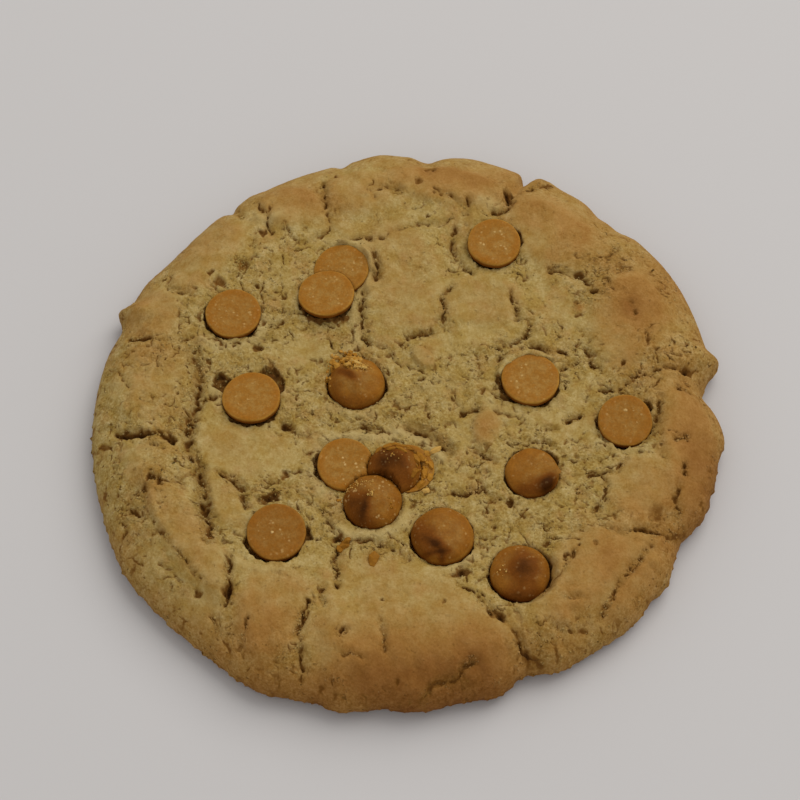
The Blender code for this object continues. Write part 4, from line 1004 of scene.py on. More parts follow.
# Browned patches, and rows of painted light and shade on the rim: (x, y, half length, half width, turn in
# degrees, strength)
BROWNED_AND_PAINTED_LIGHT = (
    (40.0, 14.0, 16.0, 8.0, 80.0, 0.7),
    (47.0, -9.0, 13.0, 6.0, 95.0, 0.9),
    (34.0, -31.0, 14.0, 9.0, 50.0, 0.7),
    # Painted light: a pale patch lifts the lower right rim, which faces away from the lamp
    (38.0, -36.0, 12.0, 4.0, 45.0, -0.7),
    # Painted light: a pale band on the left rim edge stands for the light on it
    (-50.0, -5.0, 4.0, 16.0, 0.0, -0.9),
    (2.0, -46.0, 18.0, 7.0, 0.0, 0.9),
    (-24.0, -41.0, 7.0, 6.0, 60.0, 0.8),
    (10.0, 43.0, 12.0, 5.0, -10.0, 0.8),
    (-16.0, 39.0, 9.0, 5.0, -20.0, 0.6),
    (-37.0, -22.0, 10.0, 3.5, -58.0, 0.3),
    (25.0, 36.0, 9.0, 6.0, -40.0, 0.6),
    (13.0, -4.6, 2.8, 2.0, 80.0, 0.8),
    (3.3, 10.5, 2.0, 1.4, -50.0, 0.7),
    (29.0, 18.2, 0.8, 1.0, 0.0, 1.1),
    (37.5, 17.5, 2.6, 2.0, 90.0, 0.8),
    (12.0, -45.0, 7.0, 3.0, 20.0, 0.6),
    (-44.0, 10.0, 4.0, 6.0, 0.0, 0.35),
    (-5.6, -28.9, 1.7, 1.1, 78.0, 1.0),
    (36.0, -25.0, 8.0, 9.0, 50.0, 0.35),
    (34.0, 26.0, 9.0, 9.0, -40.0, 0.5),
    # Painted shade: a dark band along the front edge, where it curves under towards the floor
    (0.0, -50.0, 26.0, 3.0, 0.0, 1.0),
    (-8.5, 28.5, 1.5, 3.5, -20.0, 0.5),
    (24.0, 9.5, 2.0, 1.5, 0.0, 0.5),
)

BROWNED_RIM = 0.5
BROWNED_PLATE = 0.24
BROWNED_PATCH = 0.6
BROWNED_WAVES = ((0.16, 7.0, 60), (0.1, 2.5, 61))


def browning_and_painted_light(x, y, surface):
    """How browned the crust is: most so on its rim, on the plates and in the patches, which also hold painted
    light and shade on the rim.
    """
    browned = BROWNED_RIM * np.exp(-surface["inset"] / 5.0) + BROWNED_PLATE * surface["plate"]
    for *area, strength in BROWNED_AND_PAINTED_LIGHT:
        browned = browned + strength * BROWNED_PATCH * patch(x, y, *area)
    return np.clip(layered(x, y, BROWNED_WAVES, browned), 0.0, 1.3)


def pick(piece):
    """Makes this the one selected and active object."""
    bpy.ops.object.select_all(action="DESELECT")
    piece.select_set(True)
    bpy.context.view_layer.objects.active = piece


def read_points(piece):
    points = np.zeros(len(piece.data.vertices) * 3)
    piece.data.vertices.foreach_get("co", points)
    return points.reshape(-1, 3)


def write_points(piece, points):
    piece.data.vertices.foreach_set("co", points.astype(np.float32).ravel())
    piece.data.update()


def add_fields(piece, **fields):
    """Keeps numbers for every point of a piece, for its material to read."""
    for name, values in fields.items():
        field = piece.data.attributes.new(name, "FLOAT", "POINT")
        field.data.foreach_set("value", np.asarray(values, np.float32))


def place(piece, finish, node, smooth=True):
    """Coats a finished piece and ties it to the cookie's one body, in the place of its solid."""
    if smooth:
        pick(piece)
        bpy.ops.object.shade_smooth()
    piece.data.materials.append(finish.material)
    if node:
        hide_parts(node)
    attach(piece, "root")


# The crust is a square grid drawn into the round, a little finer at its rim, with small nubs there
CELLS = 740
RIM_FINER = 0.11
RIM_FINER_POWER = 6
EDGE_WAVES = ((0.22, 3.2, 70), (0.24, 1.5, 71))
EDGE_NUBS = 0.5
EDGE_NUB_SIZE = 0.9
EDGE_MEAN = 0.1
SIDE_WAVE = 0.12
SIDE_WAVE_SIZE = 1.4
CRUST_TRIANGLES = 192000

bpy.ops.object.select_all(action="DESELECT")
bpy.ops.mesh.primitive_grid_add(x_subdivisions=CELLS, y_subdivisions=CELLS, size=2.0)
dough = bpy.context.active_object
dough.name = "dough_crust"
dough.data.name = "dough_crust"
bpy.ops.object.mode_set(mode="EDIT")
bpy.ops.mesh.select_all(action="SELECT")
bpy.ops.mesh.region_to_loop()
for _ in TUCK:
    bpy.ops.mesh.extrude_edges_move(TRANSFORM_OT_translate={"value": (0.0, 0.0, -1.0)})
bpy.ops.mesh.edge_face_add()
bpy.ops.mesh.select_all(action="SELECT")
bpy.ops.mesh.quads_convert_to_tris()
bpy.ops.object.mode_set(mode="OBJECT")

grid = read_points(dough)
u, v = grid[:, 0], grid[:, 1]
share = np.maximum(np.abs(u), np.abs(v))
across = np.abs(u) >= np.abs(v)
with np.errstate(divide="ignore", invalid="ignore"):
    angle = np.where(across, math.pi / 4 * v / u, math.pi / 2 - math.pi / 4 * u / v)
angle = np.where(share > 0.0, angle, 0.0)
angle = np.where(np.where(across, u, v) < 0.0, angle + math.pi, angle)
share = (1.0 + RIM_FINER) * share - RIM_FINER * share**RIM_FINER_POWER
edge_x, edge_y = RADIUS * np.cos(angle), RADIUS * np.sin(angle)
ragged_edge = layered(edge_x, edge_y, EDGE_WAVES)
ragged_edge = ragged_edge + EDGE_NUBS * np.maximum(waves(edge_x, edge_y, EDGE_NUB_SIZE, 73), 0.0) - EDGE_MEAN
reach = share * edge_radius(angle) + ragged_edge * share**8
level = np.zeros(len(grid))
loop = np.rint(-grid[:, 2]).astype(int)
for number, (height, inset) in enumerate(TUCK, start=1):
    here = loop == number
    side = SIDE_WAVE * waves(edge_x + 9.0 * number, edge_y, SIDE_WAVE_SIZE, 72) * (height > 0.0)
    reach = np.where(here, edge_radius(angle) + ragged_edge * (1.0 - number / 6.0) - inset + side, reach)
    level = np.where(here, height, level)
x = OUTLINE_CENTRE[0] + reach * np.cos(angle)
y = OUTLINE_CENTRE[1] + reach * np.sin(angle)
top = loop == 0
level[top] = crust(x[top], y[top])["height"]
write_points(dough, np.stack([x, y, level], 1) * MM)

pick(dough)
fewer = dough.modifiers.new("fewer_faces", "DECIMATE")
fewer.ratio = CRUST_TRIANGLES / len(dough.data.polygons)
bpy.ops.object.modifier_apply(modifier=fewer.name)

x, y, level = (read_points(dough) / MM).T
surface = crust(x, y)
is_top = level > WIDEST_HEIGHT - 0.2
# Low on the side the colour is made browner and darker: partly the browner baked bottom, partly painted shade
# where the edge tucks under towards the floor. The crack-wall colour given there is painted shade only.
underside = np.clip((2.4 - level) / 1.6, 0.0, 1.0)
add_fields(
    dough,
    browned=browning_and_painted_light(x, y, surface) + 0.9 * underside,
    opening=np.where(is_top, surface["opening"], 0.35 * underside),
    valley=np.where(is_top, surface["valley"], 0.0),
    rough=surface["rough"],
    pale=np.where(is_top, surface["pale"], 0.0),
)


def operator(operation, swapped=False):
    """One operator of a reading, or with its two sides swapped the reflected form of it."""

    def work_out(one, other=0.0):
        values = {0: other, 1: one} if swapped else {0: one, 1: other}
        return one.finish.node("ShaderNodeMath", {"operation": operation}, values)

    return work_out


class Reading:
    """A value in a material, for formulas. Its operators add the Math nodes that work them out."""

    def __init__(self, finish, socket):
        self.finish = finish
        self.socket = socket

    __add__ = operator("ADD")
    __radd__ = operator("ADD", swapped=True)
    __sub__ = operator("SUBTRACT")
    __rsub__ = operator("SUBTRACT", swapped=True)
    __mul__ = operator("MULTIPLY")
    __rmul__ = operator("MULTIPLY", swapped=True)
    __pow__ = operator("POWER")
    __abs__ = operator("ABSOLUTE")


class Finish:
    """A material, built up node by node."""

    def __init__(self, name):
        self.material = bpy.data.materials.new(name)
        self.material.use_nodes = True
        self.tree = self.material.node_tree
        self.shader = self.tree.nodes["Principled BSDF"]

    def put(self, socket, value):
        if isinstance(value, Reading):
            self.tree.links.new(value.socket, socket)
        else:
            socket.default_value = value

    def feed(self, name, value):
        self.put(self.shader.inputs[name], value)

    def node(self, kind, settings=None, values=None, output=0):
        """Adds a node, sets it up, and gives one of its outputs."""
        made = self.tree.nodes.new(kind)
        for name, setting in (settings or {}).items():
            setattr(made, name, setting)
        for name, value in (values or {}).items():
            self.put(made.inputs[name], value)
        return Reading(self, made.outputs[output])

    def place(self):
        return self.node("ShaderNodeTexCoord", output="Object")

    def field(self, name):
        return self.node("ShaderNodeAttribute", {"attribute_name": name}, output="Fac")

    def noise(self, size, detail=2.0, roughness=0.5):
        """Noise from 0 to 1, with lumps of this size in millimetres."""
        values = {
            "Vector": self.place(),
            "Scale": 1.0 / (size * MM),
            "Detail": detail,
            "Roughness": roughness,
        }
        return self.node("ShaderNodeTexNoise", None, values)

    def between(self, value, low, high, to_low=0.0, to_high=1.0):
        """The value's share of the way from low to high, kept inside, and carried to a new range."""
        values = {"Value": value, "From Min": low, "From Max": high, "To Min": to_low, "To Max": to_high}
        return self.node("ShaderNodeMapRange", {"clamp": True}, values)

    def mix(self, share, first, second, blend="MIX"):
        """Two colours mixed. A Mix node's colours are its sockets 6 and 7, and its colour result is 2."""
        settings = {"data_type": "RGBA", "blend_type": blend}
        return self.node("ShaderNodeMix", settings, {0: share, 6: first, 7: second}, output=2)

    def bump(self, height, distance):
        values = {"Height": height, "Distance": distance * MM, "Strength": 1.0}
        return self.node("ShaderNodeBump", None, values)


def paint(red, green, blue):
    """A colour as the eye names it, 0 to 255, in the linear values that a shader takes."""
    linear = []
    for part in (red, green, blue):
        part = part / 255.0
        linear.append(part / 12.92 if part <= 0.04045 else ((part + 0.055) / 1.055) ** 2.4)
    return (*linear, 1.0)


PALE_CRUMB = paint(176, 150, 91)
YELLOW_CRUMB = paint(164, 134, 68)
TAN_CRUMB = paint(168, 131, 73)
GOLDEN_CRUST = paint(160, 116, 57)
TOASTED_CRUST = paint(134, 86, 36)
CREAM_FOLD = paint(190, 166, 110)
VALLEY_SHADE = paint(136, 102, 46)
WALL_BROWN_AND_SHADE = paint(112, 70, 18)
WALL_TAN = paint(138, 98, 42)
SPECK_BROWN_AND_SHADE = paint(98, 66, 18)
CRACK_DARK = paint(88, 52, 16)

baked = Finish("baked_dough")
rough = baked.field("rough")

# Pale and yellow crumb in patches, golden and toasted where it browned; the same field also carries painted
# light and shade on the rim and painted shade low on the side
browned = baked.field("browned") + (baked.noise(1.3, 3.0) - 0.5) * 0.3
colour = baked.mix(baked.between(baked.noise(2.6, 4.0, 0.6), 0.42, 0.62), PALE_CRUMB, YELLOW_CRUMB)
colour = baked.mix(baked.between(baked.noise(3.6, 4.0, 0.6), 0.52, 0.68, 0.0, 0.7), colour, TAN_CRUMB)
colour = baked.mix(baked.between(browned, 0.05, 0.8), colour, GOLDEN_CRUST)
colour = baked.mix(baked.between(browned, 0.75, 1.4), colour, TOASTED_CRUST)

# Light and dark grain, stronger in the rough crumb, and paler folds and painted shade in the valleys
crumb = baked.noise(1.0, 5.0, 0.75)
grit = baked.noise(0.38, 2.0, 0.6)
# The grain is partly random tone and partly painted shade and light: it follows the bump's own noise, darker
# in its hollows, lighter on its tops, and warmer where darker
light = (crumb - 0.5) * 0.9 + (grit - 0.5) * 0.9
light = 0.99 + light * (0.35 + rough * 0.75) - rough * 0.04 + (baked.noise(2.8, 3.0, 0.6) - 0.5) * 0.45
light = baked.node("ShaderNodeCombineColor", None, {0: light, 1: light**1.35, 2: light**2.5})
colour = baked.mix(1.0, colour, light, "MULTIPLY")
colour = baked.mix(baked.field("pale") * 0.75, colour, CREAM_FOLD)
colour = baked.mix(baked.between(baked.field("valley"), 0.15, 0.9, 0.0, 0.45), colour, VALLEY_SHADE)

# Fine creases and brown specks, then the walls and the depths of the cracks, each partly painted shade
# The creases are painted shade in the hollows that the bump carves; the specks are partly the crumb's own
# brown specks and partly painted shade in its small pits
creases = baked.between(abs(baked.noise(1.5, 3.0, 0.6) - 0.5), 0.003, 0.016, 1.0, 0.0)
creases = creases * baked.between(baked.noise(1.7, 2.0), 0.6, 0.68) * rough
specks = baked.between(baked.noise(0.75, 1.0, 0.5), 0.7, 0.75) * (0.2 + rough * 0.8)
marks = creases * 0.55 + specks * 0.8
colour = baked.mix(baked.between(marks, 0.0, 1.0), colour, SPECK_BROWN_AND_SHADE)
# The cracks' walls and depths are partly the darker crumb inside them and partly painted shade; the wells
# round the drops and the low band of the side take the same painted shade
wall = baked.mix(baked.between(baked.noise(0.7, 3.0, 0.6), 0.48, 0.66), WALL_BROWN_AND_SHADE, WALL_TAN)
colour = baked.mix(baked.between(baked.field("opening"), 0.06, 0.5, 0.0, 0.9), colour, wall)
colour = baked.mix(baked.between(baked.field("opening"), 0.6, 1.5, 0.0, 0.85), colour, CRACK_DARK)
baked.feed("Base Color", colour)
baked.feed("Roughness", 0.9)
baked.feed("Specular IOR Level", 0.12)
relief = crumb * (0.4 + rough * 0.6) + grit * 0.3 - marks * 0.5
baked.feed("Normal", baked.bump(relief, 0.3))
place(dough, baked, "dough")


# Flat drops
# Baking drops of salted caramel that lie on their points, with the round, flat base up. The base
# is matt and speckled with salt and sugar, its edge soft and rounded from the oven's heat.

# Profile, from the middle of the base outwards and down: (share of the radius, height)
FLAT_RINGS = (
    (0.1, 0.0),
    (0.2, 0.0),
    (0.3, 0.0),
    (0.4, 0.0),
    (0.5, 0.0),
    (0.6, 0.0),
    (0.7, 0.0),
    (0.79, 0.0),
    (0.86, -0.01),
    (0.915, -0.04),
    (0.95, -0.085),
    (0.975, -0.15),
    (0.99, -0.24),
    (0.999, -0.38),
    (1.0, -0.6),
    (1.0, -0.9),
    (0.985, -1.2),
    (0.94, -1.55),
    (0.86, -1.9),
    (0.68, -2.5),
    (0.5, -3.1),
    (0.1, -4.1),
)
DROP_SIDES = 72
# The height where a flat drop's underside begins, how far down a pointed one's base lies as a share of
# its tip's height, and the gap between two drops
UNDERSIDE_FROM = -0.9
POINTED_DEPTH = 0.97
PRESS_GAP = 0.06
UNEVEN_CIRCLE = 3.0


def lathe_drop(name, rings):
    """A round solid, from its top ring down: a circle, extruded and drawn to each ring in turn."""
    first_radius, first_height = rings[0]
    bpy.ops.object.select_all(action="DESELECT")
    bpy.ops.mesh.primitive_circle_add(
        vertices=DROP_SIDES,
        radius=first_radius * MM,
        fill_type="NGON",
        location=(0.0, 0.0, first_height * MM),
    )
    piece = bpy.context.active_object
    piece.name = name
    piece.data.name = name
    bpy.ops.object.mode_set(mode="EDIT")
    bpy.ops.mesh.select_all(action="SELECT")
    bpy.ops.mesh.region_to_loop()
    for (radius, height), (next_radius, next_height) in zip(rings, rings[1:]):
        drop_by = (next_height - height) * MM
        bpy.ops.mesh.extrude_edges_move(TRANSFORM_OT_translate={"value": (0.0, 0.0, drop_by)})
        wider = next_radius / radius
        bpy.ops.transform.resize(value=(wider, wider, 1.0), center_override=(0.0, 0.0, next_height * MM))
    bpy.ops.mesh.edge_face_add()
    bpy.ops.mesh.select_all(action="SELECT")
    bpy.ops.mesh.normals_make_consistent(inside=False)
    bpy.ops.object.mode_set(mode="OBJECT")
    bpy.ops.object.transform_apply(location=True, rotation=True, scale=True)
    return piece


def flat_underside(name, x, y):
    """The level of a flat drop's side over each point, and where the drop is over it at all."""
    middle_x, middle_y, radius = FLAT_DROPS[name][:3]
    share = np.hypot(x - middle_x, y - middle_y) / radius
    side = sorted((out, down) for out, down in FLAT_RINGS if down <= UNDERSIDE_FROM)
    down = np.interp(share, [out for out, _ in side], [down for _, down in side])
    return drop_level(name, x, y) + down, share < 1.0


def pointed_underside(name, x, y):
    """The same for a pointed drop: its buried base, which curves up at its rim."""
    middle_x, middle_y, radius, base, tip = POINTED_DROPS[name][:5]
    share = np.hypot(x - middle_x, y - middle_y) / radius
    return base - POINTED_DEPTH * tip + np.clip((share - 0.9) / 0.1, 0.0, 1.0), share < 1.0


def press_in(name, points):
    """Lowers a drop's points where another drop lies on it."""
    for upper in PRESSED_BY.get(name, ()):
        underside = flat_underside if upper in FLAT_DROPS else pointed_underside
        level, covered = underside(upper, points[:, 0], points[:, 1])
        points[:, 2] = np.where(covered, np.minimum(points[:, 2], level - PRESS_GAP), points[:, 2])


def start_drop(name, rings, radius, rise=1.0):
    """A drop at the origin: the piece, its points, their shares of the radius, and places for waves."""
    piece = lathe_drop("caramel_" + name, [(radius * share, rise * height) for share, height in rings])
    points = read_points(piece) / MM
    share = np.hypot(points[:, 0], points[:, 1]) / radius
    angle = np.arctan2(points[:, 1], points[:, 0])
    return piece, points, share, (UNEVEN_CIRCLE * np.cos(angle), UNEVEN_CIRCLE * np.sin(angle))


def finish_drop(piece, name, points):
    """Presses a drop in where another lies on it, and puts it in its place."""
    press_in(name, points)
    write_points(piece, points * MM)
    place(piece, caramel, "drop_" + name)


CARAMEL = paint(150, 101, 36)
CARAMEL_PALE = paint(158, 116, 54)
CARAMEL_RIM = paint(152, 96, 26)
CARAMEL_EDGE = paint(170, 122, 46)
CARAMEL_WALL = paint(124, 72, 18)
CARAMEL_BROWN = paint(114, 64, 16)
CARAMEL_DARK = paint(66, 34, 6)
SALT = paint(216, 180, 116)

caramel = Finish("caramel")

# Mottled and deeper in colour towards the rim, with a lighter edge, a darker side and brown patches, in which
# light and shade are also painted
colour = caramel.mix(caramel.between(caramel.noise(1.1, 4.0, 0.65), 0.42, 0.62), CARAMEL, CARAMEL_PALE)
colour = caramel.mix(caramel.between(caramel.field("rim"), 0.0, 1.0), colour, CARAMEL_RIM)
# The edge is lighter and yellower: partly the clearer, thinner caramel, partly a painted highlight along the
# rounded edge
colour = caramel.mix(caramel.between(caramel.field("edge"), 0.0, 1.0), colour, CARAMEL_EDGE)
# The side is painted darker: painted shade where it turns from the lamp and goes down to the dough
colour = caramel.mix(caramel.between(caramel.field("wall"), 0.0, 1.0), colour, CARAMEL_WALL)
# The brown patches are partly toasted caramel and partly painted shade on the pointed drops' flanks that turn
# from the lamp
browner = caramel.field("toasted") + (caramel.noise(0.9, 4.0, 0.6) - 0.5) * 0.35 * caramel.field("toasted")
colour = caramel.mix(caramel.between(browner, 0.0, 0.5), colour, CARAMEL_BROWN)
colour = caramel.mix(caramel.between(browner, 0.5, 1.0), colour, CARAMEL_DARK)

# Flecks of salt and sugar, gathered in patches, and a fine grain
shift = caramel.node("ShaderNodeTexNoise", None, {"Vector": caramel.place(), "Scale": 1.0 / (0.4 * MM)}, 1)
shift = caramel.node("ShaderNodeVectorMath", {"operation": "SCALE"}, {0: shift, "Scale": 0.35 * MM})
warped = caramel.node("ShaderNodeVectorMath", {"operation": "ADD"}, {0: caramel.place(), 1: shift})
cells = {"Vector": warped, "Scale": 1.0 / (0.8 * MM)}
flecks = caramel.between(caramel.node("ShaderNodeTexVoronoi", {"feature": "F1"}, cells), 0.36, 0.14)
flecks = flecks * caramel.between(caramel.noise(1.5, 2.0), 0.5, 0.6) * caramel.field("specks")
colour = caramel.mix(flecks * 0.8, colour, SALT)
streaks = 1.0 + (caramel.noise(0.34, 3.0, 0.65) - 0.5) * 0.7
streaks = caramel.node("ShaderNodeCombineColor", None, {0: streaks, 1: streaks, 2: streaks})
colour = caramel.mix(1.0, colour, streaks, "MULTIPLY")
caramel.feed("Base Color", colour)
caramel.feed("Roughness", caramel.between(caramel.noise(1.2, 3.0), 0.3, 0.7, 0.42, 0.6))
caramel.feed("Specular IOR Level", 0.04)
caramel.feed("Normal", caramel.bump(caramel.noise(0.45, 3.0) + flecks * 0.5, 0.1))

# How browned each one's base is as a whole, and how much darker every one's side is made towards the dough
FLAT_TOASTED = {"left_lower": 0.16, "left_upper": 0.05, "right_outer": 0.08}
SIDE_DARKER = 0.4
BASE_DISHED = 0.12

for number, (name, (x, y, radius, top, tilt_x, tilt_y)) in enumerate(FLAT_DROPS.items()):
    piece, points, share, around = start_drop(name, FLAT_RINGS, radius)
    seed = 100 + 10 * number
    uneven = layered(*around, ((0.025, 3.0, seed), (0.012, 0.9, seed + 3)), 1.0)
    points[:, 0] *= uneven
    points[:, 1] *= uneven
    on_base = points[:, 2] > -0.2
    dished = BASE_DISHED * (1.0 - share**2)
    points[:, 2] += on_base * (layered(points[:, 0], points[:, 1], ((0.1, 2.6, seed + 1),)) - dished)
    rim = layered(*around, ((0.5, 2.0, seed + 2),), 0.6)
    wall = smooth_step((-0.22 - points[:, 2]) / 0.3)
    add_fields(
        piece,
        rim=on_base * smooth_step(share, 0.62, 0.25) * np.clip(rim, 0.1, 1.0),
        edge=smooth_step(share, 0.93, 0.04) * (1.0 - wall) * np.clip(1.2 - rim, 0.2, 1.0),
        wall=wall,
        toasted=FLAT_TOASTED.get(name, 0.0) + SIDE_DARKER * smooth_step((-0.7 - points[:, 2]) / 0.8),
        specks=on_base * (0.15 + 1.1 * bell(share / 0.55)),
    )
    level = top + points[:, 2] + points[:, 1] * math.tan(math.radians(tilt_x))
    level = level - points[:, 0] * math.tan(math.radians(tilt_y))
    finish_drop(piece, name, np.stack([points[:, 0] + x, points[:, 1] + y, level], 1))


# Pointed drops
# The same drops with the point up. Each point was drawn out as the caramel was deposited, so it leans. Its
# steeper side is darker: partly toasted in the oven, partly painted shade on the flank that turns from the
# lamp.

# Profile, from the tip down: (share of the radius, share of the tip's height)
POINTED_RINGS = (
    (0.03, 1.0),
    (0.07, 0.985),
    (0.12, 0.955),
    (0.18, 0.915),
    (0.25, 0.87),
    (0.32, 0.83),
    (0.4, 0.78),
    (0.48, 0.72),
    (0.56, 0.65),
    (0.64, 0.57),
    (0.72, 0.475),
    (0.79, 0.375),
    (0.85, 0.265),
    (0.9, 0.15),
    (0.94, 0.03),
    (0.97, -0.11),
    (0.99, -0.28),
    (1.0, -0.5),
    (0.99, -0.72),
    (0.95, -0.95),
    (0.4, -0.97),
)
# How a point's lean gathers towards its tip
TIP_LEAN_POWER = 1.6

# Dark sides and blotches, partly toasted and partly painted shade: name -> (x, y, half length, half width,
# turn, strength)
TOASTED_AND_SHADED = {
    # On crumbled, centre_front, right_leaning and lower_middle these are painted shade on the flanks below
    # the tips that turn from the lamp
    "crumbled": (
        (-9.9, 4.7, 2.2, 0.8, -35.0, 0.6),
        (-12.0, 3.0, 1.6, 3.4, 0.0, 0.2),
        (-8.6, 0.0, 5.0, 1.2, 0.0, 0.25),
    ),
    "centre_dark": ((-3.6, -12.0, 2.2, 3.4, 0.0, 0.6), (-0.6, -13.4, 1.3, 3.0, 15.0, 0.3)),
    "centre_front": (
        (-8.3, -19.8, 1.7, 3.2, 20.0, 0.62),
        (-6.9, -20.0, 0.7, 2.2, -10.0, 0.5),
        (-6.4, -23.2, 3.4, 1.0, 0.0, 0.28),
    ),
    "right_leaning": ((22.6, -15.6, 1.0, 1.5, -35.0, 0.8), (20.8, -16.2, 4.0, 1.5, 5.0, 0.4)),
    "lower_middle": (
        (2.4, -25.2, 2.0, 3.4, 20.0, 0.46),
        (4.7, -27.0, 1.9, 0.9, -35.0, 0.7),
        (4.6, -28.2, 2.2, 0.35, 5.0, 0.45),
        (5.4, -28.9, 0.5, 0.8, 0.0, 0.4),
    ),
    # The middle blotches on lower_right are toasted caramel
    "lower_right": (
        (18.3, -31.0, 2.0, 2.6, -5.0, 0.36),
        (18.4, -31.4, 3.4, 3.4, 0.0, 0.35),
        (18.0, -35.4, 4.4, 1.1, 0.0, 0.45),
    ),
}
# How browned each one is as a whole
OVERALL_TOASTED = {
    "crumbled": 0.1,
    "centre_dark": 0.3,
    "centre_front": 0.16,
    "right_leaning": 0.14,
    "lower_middle": 0.16,
    "lower_right": 0.14,
}
# These carry less salt
FEW_SPECKS = ("right_leaning", "lower_middle", "crumbled", "lower_right")
# How far the last of the point bends over: name -> (across, up)
BEAKS = {"right_leaning": (1.1, 0.1), "lower_middle": (0.3, -0.5)}
BEAK_POWER = 5.0
TIP_WAVE = 0.2

for number, (name, (x, y, radius, base, tip, lean_x, lean_y)) in enumerate(POINTED_DROPS.items()):
    piece, points, share, around = start_drop(name, POINTED_RINGS, radius, tip)
    seed = 300 + 10 * number
    uneven = layered(*around, ((0.03, 2.5, seed), (0.012, 0.9, seed + 3)), 1.0)
    beak_x, beak_y = BEAKS.get(name, (0.0, 0.0))
    rise = np.clip(points[:, 2] / tip, 0.0, 1.0)
    points[:, 0] = points[:, 0] * uneven + lean_x * rise**TIP_LEAN_POWER + beak_x * rise**BEAK_POWER
    points[:, 1] = points[:, 1] * uneven + lean_y * rise**TIP_LEAN_POWER + beak_y * rise**BEAK_POWER
    points[:, 2] += TIP_WAVE * waves(points[:, 0], points[:, 1], 2.4, seed + 1) * (points[:, 2] > 0.0)
    points += np.array([x, y, base])
    toasted = layered(points[:, 0], points[:, 1], ((0.12, 1.6, seed + 2),), OVERALL_TOASTED[name])
    for *area, strength in TOASTED_AND_SHADED[name]:
        toasted = toasted + strength * patch(points[:, 0], points[:, 1], *area)
    wall = np.clip((base - 0.25 - points[:, 2]) / 0.6, 0.0, 1.0)
    add_fields(
        piece,
        rim=smooth_step(share, 0.5, 0.4) * 0.8,
        edge=smooth_step(share, 0.9, 0.06) * (1.0 - wall) * 0.4,
        wall=wall,
        toasted=np.clip(toasted, 0.0, 1.2),
        specks=np.clip(1.0 - toasted, 0.25, 0.7) * (0.4 if name in FEW_SPECKS else 1.0),
    )
    finish_drop(piece, name, points)


# Loose crumbs
# Grains of the same dough that broke off as the crust split. They lie in the cracks, in the torn
# crumb between the plates and round the drops, half sunk in it.

# So many stay of those tried over the crust, and so many more lie round each drop, this far out
CRUMB_COUNT = 5000
CRUMB_TRIES = 60000
CRUMB_REACH = 51.0
DROP_CRUMBS = 20
DROP_CRUMB_REACH = 1.3
# Half sizes, and how deep a crumb is sunk as a share of them
CRUMB_SMALLEST = 0.08
CRUMB_RANGE = 0.17
CRUMB_SUNK = 0.2
# How far a lump is tilted, and how uneven its sizes and its points are
GRAIN_TILT = 0.6
GRAIN_UNEVEN = (0.7, 1.25)
ABOVE_ALL = 30.0


def grains(name, places, sizes, seed, turns=None, tilts=None):
    """Many small, uneven lumps as one piece, and for each of its points the number of its lump."""
    bpy.ops.object.select_all(action="DESELECT")
    bpy.ops.mesh.primitive_ico_sphere_add(subdivisions=1, radius=1.0)
    pattern = bpy.context.active_object
    shape = read_points(pattern)
    faces = np.array([list(face.vertices) for face in pattern.data.polygons])
    bpy.data.objects.remove(pattern)
    chance = np.random.default_rng(seed)
    count = len(places)
    if turns is None:
        turns = chance.uniform(0.0, math.tau, count)
        tilts = chance.uniform(-GRAIN_TILT, GRAIN_TILT, count)
    uneven = chance.uniform(*GRAIN_UNEVEN, (count, len(shape), 1))
    lumps = shape[None] * uneven * sizes[:, None, :]
    c, s = np.cos(tilts)[:, None], np.sin(tilts)[:, None]
    y = lumps[:, :, 1] * c - lumps[:, :, 2] * s
    z = lumps[:, :, 1] * s + lumps[:, :, 2] * c
    c, s = np.cos(turns)[:, None], np.sin(turns)[:, None]
    lumps = np.stack([lumps[:, :, 0] * c - y * s, lumps[:, :, 0] * s + y * c, z], 2) + places[:, None, :]
    corners = faces[None] + (np.arange(count) * len(shape))[:, None, None]
    mesh = bpy.data.meshes.new(name)
    mesh.from_pydata((lumps.reshape(-1, 3) * MM).tolist(), [], corners.reshape(-1, 3).tolist())
    piece = bpy.data.objects.new(name, mesh)
    bpy.context.scene.collection.objects.link(piece)
    return piece, np.repeat(np.arange(count), len(shape))


def surface_tree(piece):
    faces = [list(face.vertices) for face in piece.data.polygons]
    return BVHTree.FromPolygons((read_points(piece) / MM).tolist(), faces)


def top_levels(trees, x, y):
    """The height of the highest of these surfaces under each point."""
    levels = []
    for a, b in zip(x, y):
        hits = [tree.ray_cast(Vector((a, b, ABOVE_ALL)), Vector((0.0, 0.0, -1.0)))[0] for tree in trees]
        levels.append(max([hit.z for hit in hits if hit], default=0.0))
    return np.array(levels)


dough_tree = surface_tree(dough)
chance = np.random.default_rng(7)
reach = CRUMB_REACH * np.sqrt(chance.uniform(0.0, 1.0, CRUMB_TRIES))
turn = chance.uniform(0.0, math.tau, CRUMB_TRIES)
x, y = reach * np.cos(turn), reach * np.sin(turn)
under = crust(x, y)
keep = 0.4 * np.clip(under["valley"] / 0.3, 0.0, 1.0) + 0.6 * smooth_step(under["rough"], 0.3, 0.6)
keep = keep * (1.0 - np.clip(under["pale"], 0.0, 1.0))
keep = keep * (0.25 + smooth_step(waves(x, y, 3.0, 80), -0.1, 0.4))
keep = keep * (under["opening"] < 1.1) * (under["inset"] > 0.6)
chosen = np.argsort(-keep * chance.uniform(0.0, 1.0, CRUMB_TRIES))[:CRUMB_COUNT]
x, y = x[chosen], y[chosen]
for middle_x, middle_y, radius, *_ in DROPS.values():
    turn = chance.uniform(0.0, math.tau, DROP_CRUMBS)
    reach = radius + chance.uniform(0.0, 1.0, DROP_CRUMBS) ** 1.5 * DROP_CRUMB_REACH
    x = np.append(x, middle_x + reach * np.cos(turn))
    y = np.append(y, middle_y + reach * np.sin(turn))
clear = np.ones(len(x), bool)
